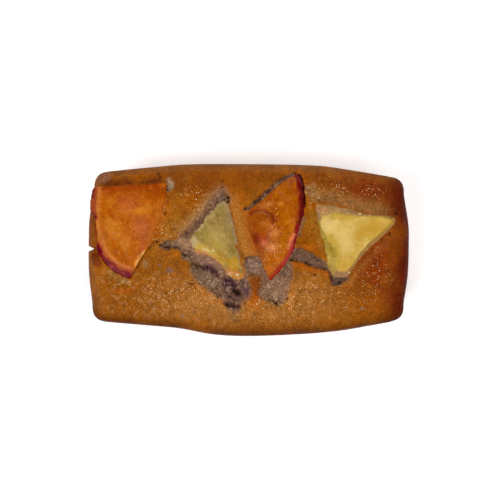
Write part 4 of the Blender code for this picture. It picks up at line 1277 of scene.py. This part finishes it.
def turned_disc(sectors):
    """A disc of radius 1 turned from its profile, whose heights run from 0 at the base to 1."""
    profile = [(ring * TOP_REACH / TOP_RINGS, 1.0) for ring in range(TOP_RINGS + 1)] + list(EDGE_PROFILE)
    shape = bmesh.new()
    points = [shape.verts.new((share, 0.0, height)) for share, height in profile]
    sides = [shape.edges.new(pair) for pair in zip(points, points[1:])]
    bmesh.ops.spin(
        shape, geom=points + sides, axis=(0, 0, 1), cent=(0, 0, 0),
        steps=sectors, angle=2 * math.pi, use_merge=True,
    )
    bmesh.ops.remove_doubles(shape, verts=shape.verts, dist=0.0001)
    bmesh.ops.recalc_face_normals(shape, faces=shape.faces)
    return shape


def make_fruit(name, material, dressed):
    """One piece of fruit, lying along the top of the cake."""
    facts = FRUIT[name]
    outline = smooth_outline(facts["outline"], facts["per_side"])
    edge = Ground(*outline.T)
    for height, size, seed in UNEVEN_EDGE:
        wander = np.column_stack([edge.noise(size, seed), edge.noise(size, seed + 1)])
        outline += facts["ragged"] * height * wander
    piece = finished(name + "_baked", turned_disc(len(outline)), material, name)
    disc = points_of(piece.data)
    share = np.hypot(disc[:, 0], disc[:, 1])
    sector = np.rint(np.arctan2(disc[:, 1], disc[:, 0]) / (2 * np.pi) * len(outline)).astype(int)
    centre = (outline.min(0) + outline.max(0)) / 2
    x, y = (centre + (outline[sector % len(outline)] - centre) * share[:, None]).T
    ground = Ground(x, y)
    level = disc[:, 2]
    bed = fruit_bed(x, y)
    inwards = np.maximum(inside_distance(x, y, outline), 0.0)
    past_top = np.maximum(-inside_distance(x, y, smooth_outline(facts["top"])), 0.0)
    slope = np.where(past_top > 0.0, inwards / np.maximum(inwards + past_top, 1e-6), 1.0)
    tones, relief, shine = dressed(ground, slope)
    top = facts["lift"] - facts["fall"] * (1.0 - slope) ** 1.5 + relief * ease(inwards, 0.0, 0.8)
    top += ground.raised(facts["relief"])
    low = facts["lift"] - facts["fall"] - facts["thickness"]
    z = bed + low + (top - low) * level
    set_points(piece.data, np.column_stack([x, y, held_down(z)]))
    set_field(piece.data, "tone", tones)
    set_field(piece.data, "shine", shine)


def mottled(ground, base, light, dark, size, seed):
    """A base colour broken up by lighter and darker patches of the given size."""
    tones = flood(base, len(ground.x))
    finer = ((0.5, size * 0.4, seed + 1), (0.35, size * 0.2, seed + 2))
    pattern = ground.layered(((0.7, size, seed), *finer))
    paint(tones, light, ease(pattern, 0.0, 0.6))
    paint(tones, dark, ease(-pattern, 0.0, 0.6))
    return tones


def plum_left(ground, slope):
    """The flat plum slice: mottled orange flesh, a pale line and dark skin along its curve."""
    tones = mottled(ground, (182, 94, 12), (198, 114, 26), (168, 78, 2), 3.0, 40)
    ground.painted(tones, PLUM_LEFT_MARKS)
    paint(tones, (198, 112, 36), 0.35 * ease(ground.noise(0.9, 43), 0.1, 0.6))
    paint(tones, (206, 122, 56), 0.8 * ground.line(PLUM_LEFT_LINE, 1.3, 1.2, 1.0))
    ground.painted(tones, PLUM_LEFT_SKIN)
    tones *= (0.95 + ground.layered(((0.15, 1.3, 45), (0.18, 0.55, 46))))[:, None]
    relief = ground.layered(((0.10, 4.0, 41), (0.06, 1.4, 42), (0.03, 0.6, 46)))
    relief -= 0.10 * ground.line(PLUM_LEFT_LINE, 0.5, 0.5, 0.3)
    shine = 0.15 + 0.10 * ease(ground.noise(3.0, 44), 0.0, 0.5)
    shine += 0.5 * ground.spot((-30.0, -2.4), (1.4, 2.6), -30.0)
    shine *= 0.2 + 0.8 * ease(slope, 0.5, 0.95)
    return tones, relief, shine


def plum_right(ground, _):
    """The wrinkled plum slice: glossy flesh with a fold, and dark skin along its curve."""
    tones = mottled(ground, (160, 78, 0), (188, 106, 4), (136, 54, 0), 2.2, 50)
    ground.painted(tones, PLUM_RIGHT_MARKS)
    tones *= (0.94 + 0.16 * ground.noise(1.2, 55) + 0.18 * ground.noise(0.55, 56))[:, None]
    ground.painted(tones, PLUM_RIGHT_SKIN)
    relief = ground.layered(((0.10, 3.0, 51), (0.05, 1.2, 52))) + ground.raised(PLUM_RIGHT_FOLDS)
    shine = 0.16 + 1.1 * ground.wash((6.8, -2.0), (2.6, 4.4))
    shine += 0.45 * ground.wash((6.0, 12.4), (3.4, 1.8))
    shine += 0.4 * ground.wash((7.6, 7.0), (3.0, 3.0))
    shine *= 0.3 + 1.1 * ease(ground.noise(1.4, 53), -0.2, 0.4)
    return tones, relief, shine


def pineapple_left(ground, _):
    """The greenish pineapple piece, sunk a little into the crust."""
    tones = mottled(ground, (158, 128, 68), (176, 146, 84), (142, 112, 52), 1.8, 60)
    ground.painted(tones, PINEAPPLE_LEFT_MARKS)
    fibres = ground.fibres(-42.0, 2.2, 0.4, 62) + 0.6 * ground.fibres(-30.0, 1.4, 0.3, 63)
    paint(tones, (198, 170, 108), 0.38 * ease(fibres, 0.0, 0.9))
    paint(tones, (130, 104, 44), 0.18 * ease(-fibres, 0.1, 0.9))
    tones *= (0.90 + 0.12 * ground.noise(0.7, 66))[:, None]
    relief = 0.05 * fibres + 0.08 * ground.noise(2.0, 64) + 0.15 * ground.wash((-9.0, 3.0), (4.0, 5.0))
    shine = 0.4 * ease(ground.noise(1.4, 65), 0.0, 0.5)
    return tones, relief, shine


def pineapple_right(ground, slope):
    """The yellow pineapple piece, its flat top standing over sloping sides."""
    tones = mottled(ground, (212, 174, 84), (222, 188, 102), (202, 162, 68), 2.8, 70)
    ground.painted(tones, PINEAPPLE_RIGHT_MARKS)
    side = 1.0 - ease(slope + 0.14 * ground.noise(1.5, 72), 0.62, 1.0)
    sides = mottled(ground, (166, 126, 76), (184, 142, 90), (146, 108, 60), 1.4, 73)
    ground.painted(sides, PINEAPPLE_RIGHT_SIDES)
    tones += (sides - tones) * side[:, None]
    edge = ease(slope, 0.55, 0.75) * (1.0 - ease(slope, 0.85, 1.0))
    paint(tones, (140, 108, 34), 0.3 * edge * ease(ground.x, 28.0, 31.0))
    # Painted glints along the top edge and at the lower tip
    for at in ((20.6, 10.4), (31.0, 10.1), (33.8, 9.9), (28.0, -6.4)):
        paint(tones, (236, 204, 146), 0.6 * ground.spot(at, (0.45, 0.25), 20.0, 0.5))
    rough = ground.layered(((0.22, 0.9, 78), (0.26, 0.45, 79)))
    tones *= (0.95 + 0.06 * ground.noise(0.8, 77) + side * rough)[:, None]
    relief = 0.10 * ground.noise(2.6, 74) + 0.07 * ground.fibres(30.0, 2.2, 0.6, 75)
    relief -= 0.12 * ground.line(((26.0, 9.0), (29.0, 3.0), (28.2, -2.0)), 1.0, 1.6)
    shine = 0.25 * ease(ground.noise(2.0, 76), 0.0, 0.5)
    shine += 0.6 * side * ease(ground.noise(1.2, 71), 0.0, 0.4)
    return tones, relief, shine


# The stage

# The width of the picture at the height of the rim, and the camera's place over the cake, in
# millimetres; its distance from the rim, in metres
FRAME_WIDTH = 140.4
CAMERA_PLACE = (0.35, 0.0)
CAMERA_DISTANCE = 0.50

# Lights: place and size in metres, power
LIGHTS = {
    "key": ((-0.46, -0.28, 0.80), 0.50, 5.9),
    "fill": ((0.40, -0.20, 0.75), 0.60, 2.4),
    "back": ((0.12, 0.62, 0.60), 0.50, 4.1),
}


def make_floor():
    """A plain pale floor."""
    shape = bmesh.new()
    bmesh.ops.create_grid(shape, x_segments=1, y_segments=1, size=3.0)
    material, tree, shader = new_material("pale_floor")
    feed(tree, shader, {
        "Base Color": (0.96, 0.96, 0.96, 1.0),
        "Emission Color": (1.0, 1.0, 1.0, 1.0),
        "Emission Strength": 0.25,
        "Roughness": 0.9,
        "Specular IOR Level": 0.0,
    })
    floor = meshed("floor", shape, material)


def make_lights():
    """Square soft lights that shine at the cake, and an even sky."""
    for name, (place, size, power) in LIGHTS.items():
        lamp = bpy.data.lights.new(name, "AREA")
        lamp.size = size
        lamp.energy = power
        light = placed(name, lamp)
        light.location = place
        light.rotation_euler = (-Vector(place)).to_track_quat("-Z", "Y").to_euler()
    world = bpy.data.worlds.new("studio")
    world.use_nodes = True
    sky = world.node_tree.nodes["Background"]
    feed(world.node_tree, sky, {"Color": (0.97, 0.97, 1.0, 1.0), "Strength": 0.15})
    bpy.context.scene.world = world


def make_camera():
    """A camera straight above the cake, framed as the picture is."""
    lens = bpy.data.cameras.new("camera")
    lens.sensor_width = 36.0
    lens.lens = lens.sensor_width * CAMERA_DISTANCE / (FRAME_WIDTH * MM)
    camera = placed("camera", lens)
    camera.location = (CAMERA_PLACE[0] * MM, CAMERA_PLACE[1] * MM, RIM_HEIGHT * MM + CAMERA_DISTANCE)
    bpy.context.scene.camera = camera


def main():
    """Builds the dressed cake and its stage."""
    make_cake(crust_material())
    plum = fruit_material("plum", 0.12, 0.20)
    pineapple = fruit_material("pineapple", 0.2, 0.07)
    make_fruit("plum_slice_left", plum, plum_left)
    make_fruit("plum_slice_right", plum, plum_right)
    make_fruit("pineapple_piece_left", pineapple, pineapple_left)
    make_fruit("pineapple_piece_right", pineapple, pineapple_right)
    make_floor()
    make_lights()
    make_camera()
    bpy.context.scene.view_settings.view_transform = "Standard"


main()
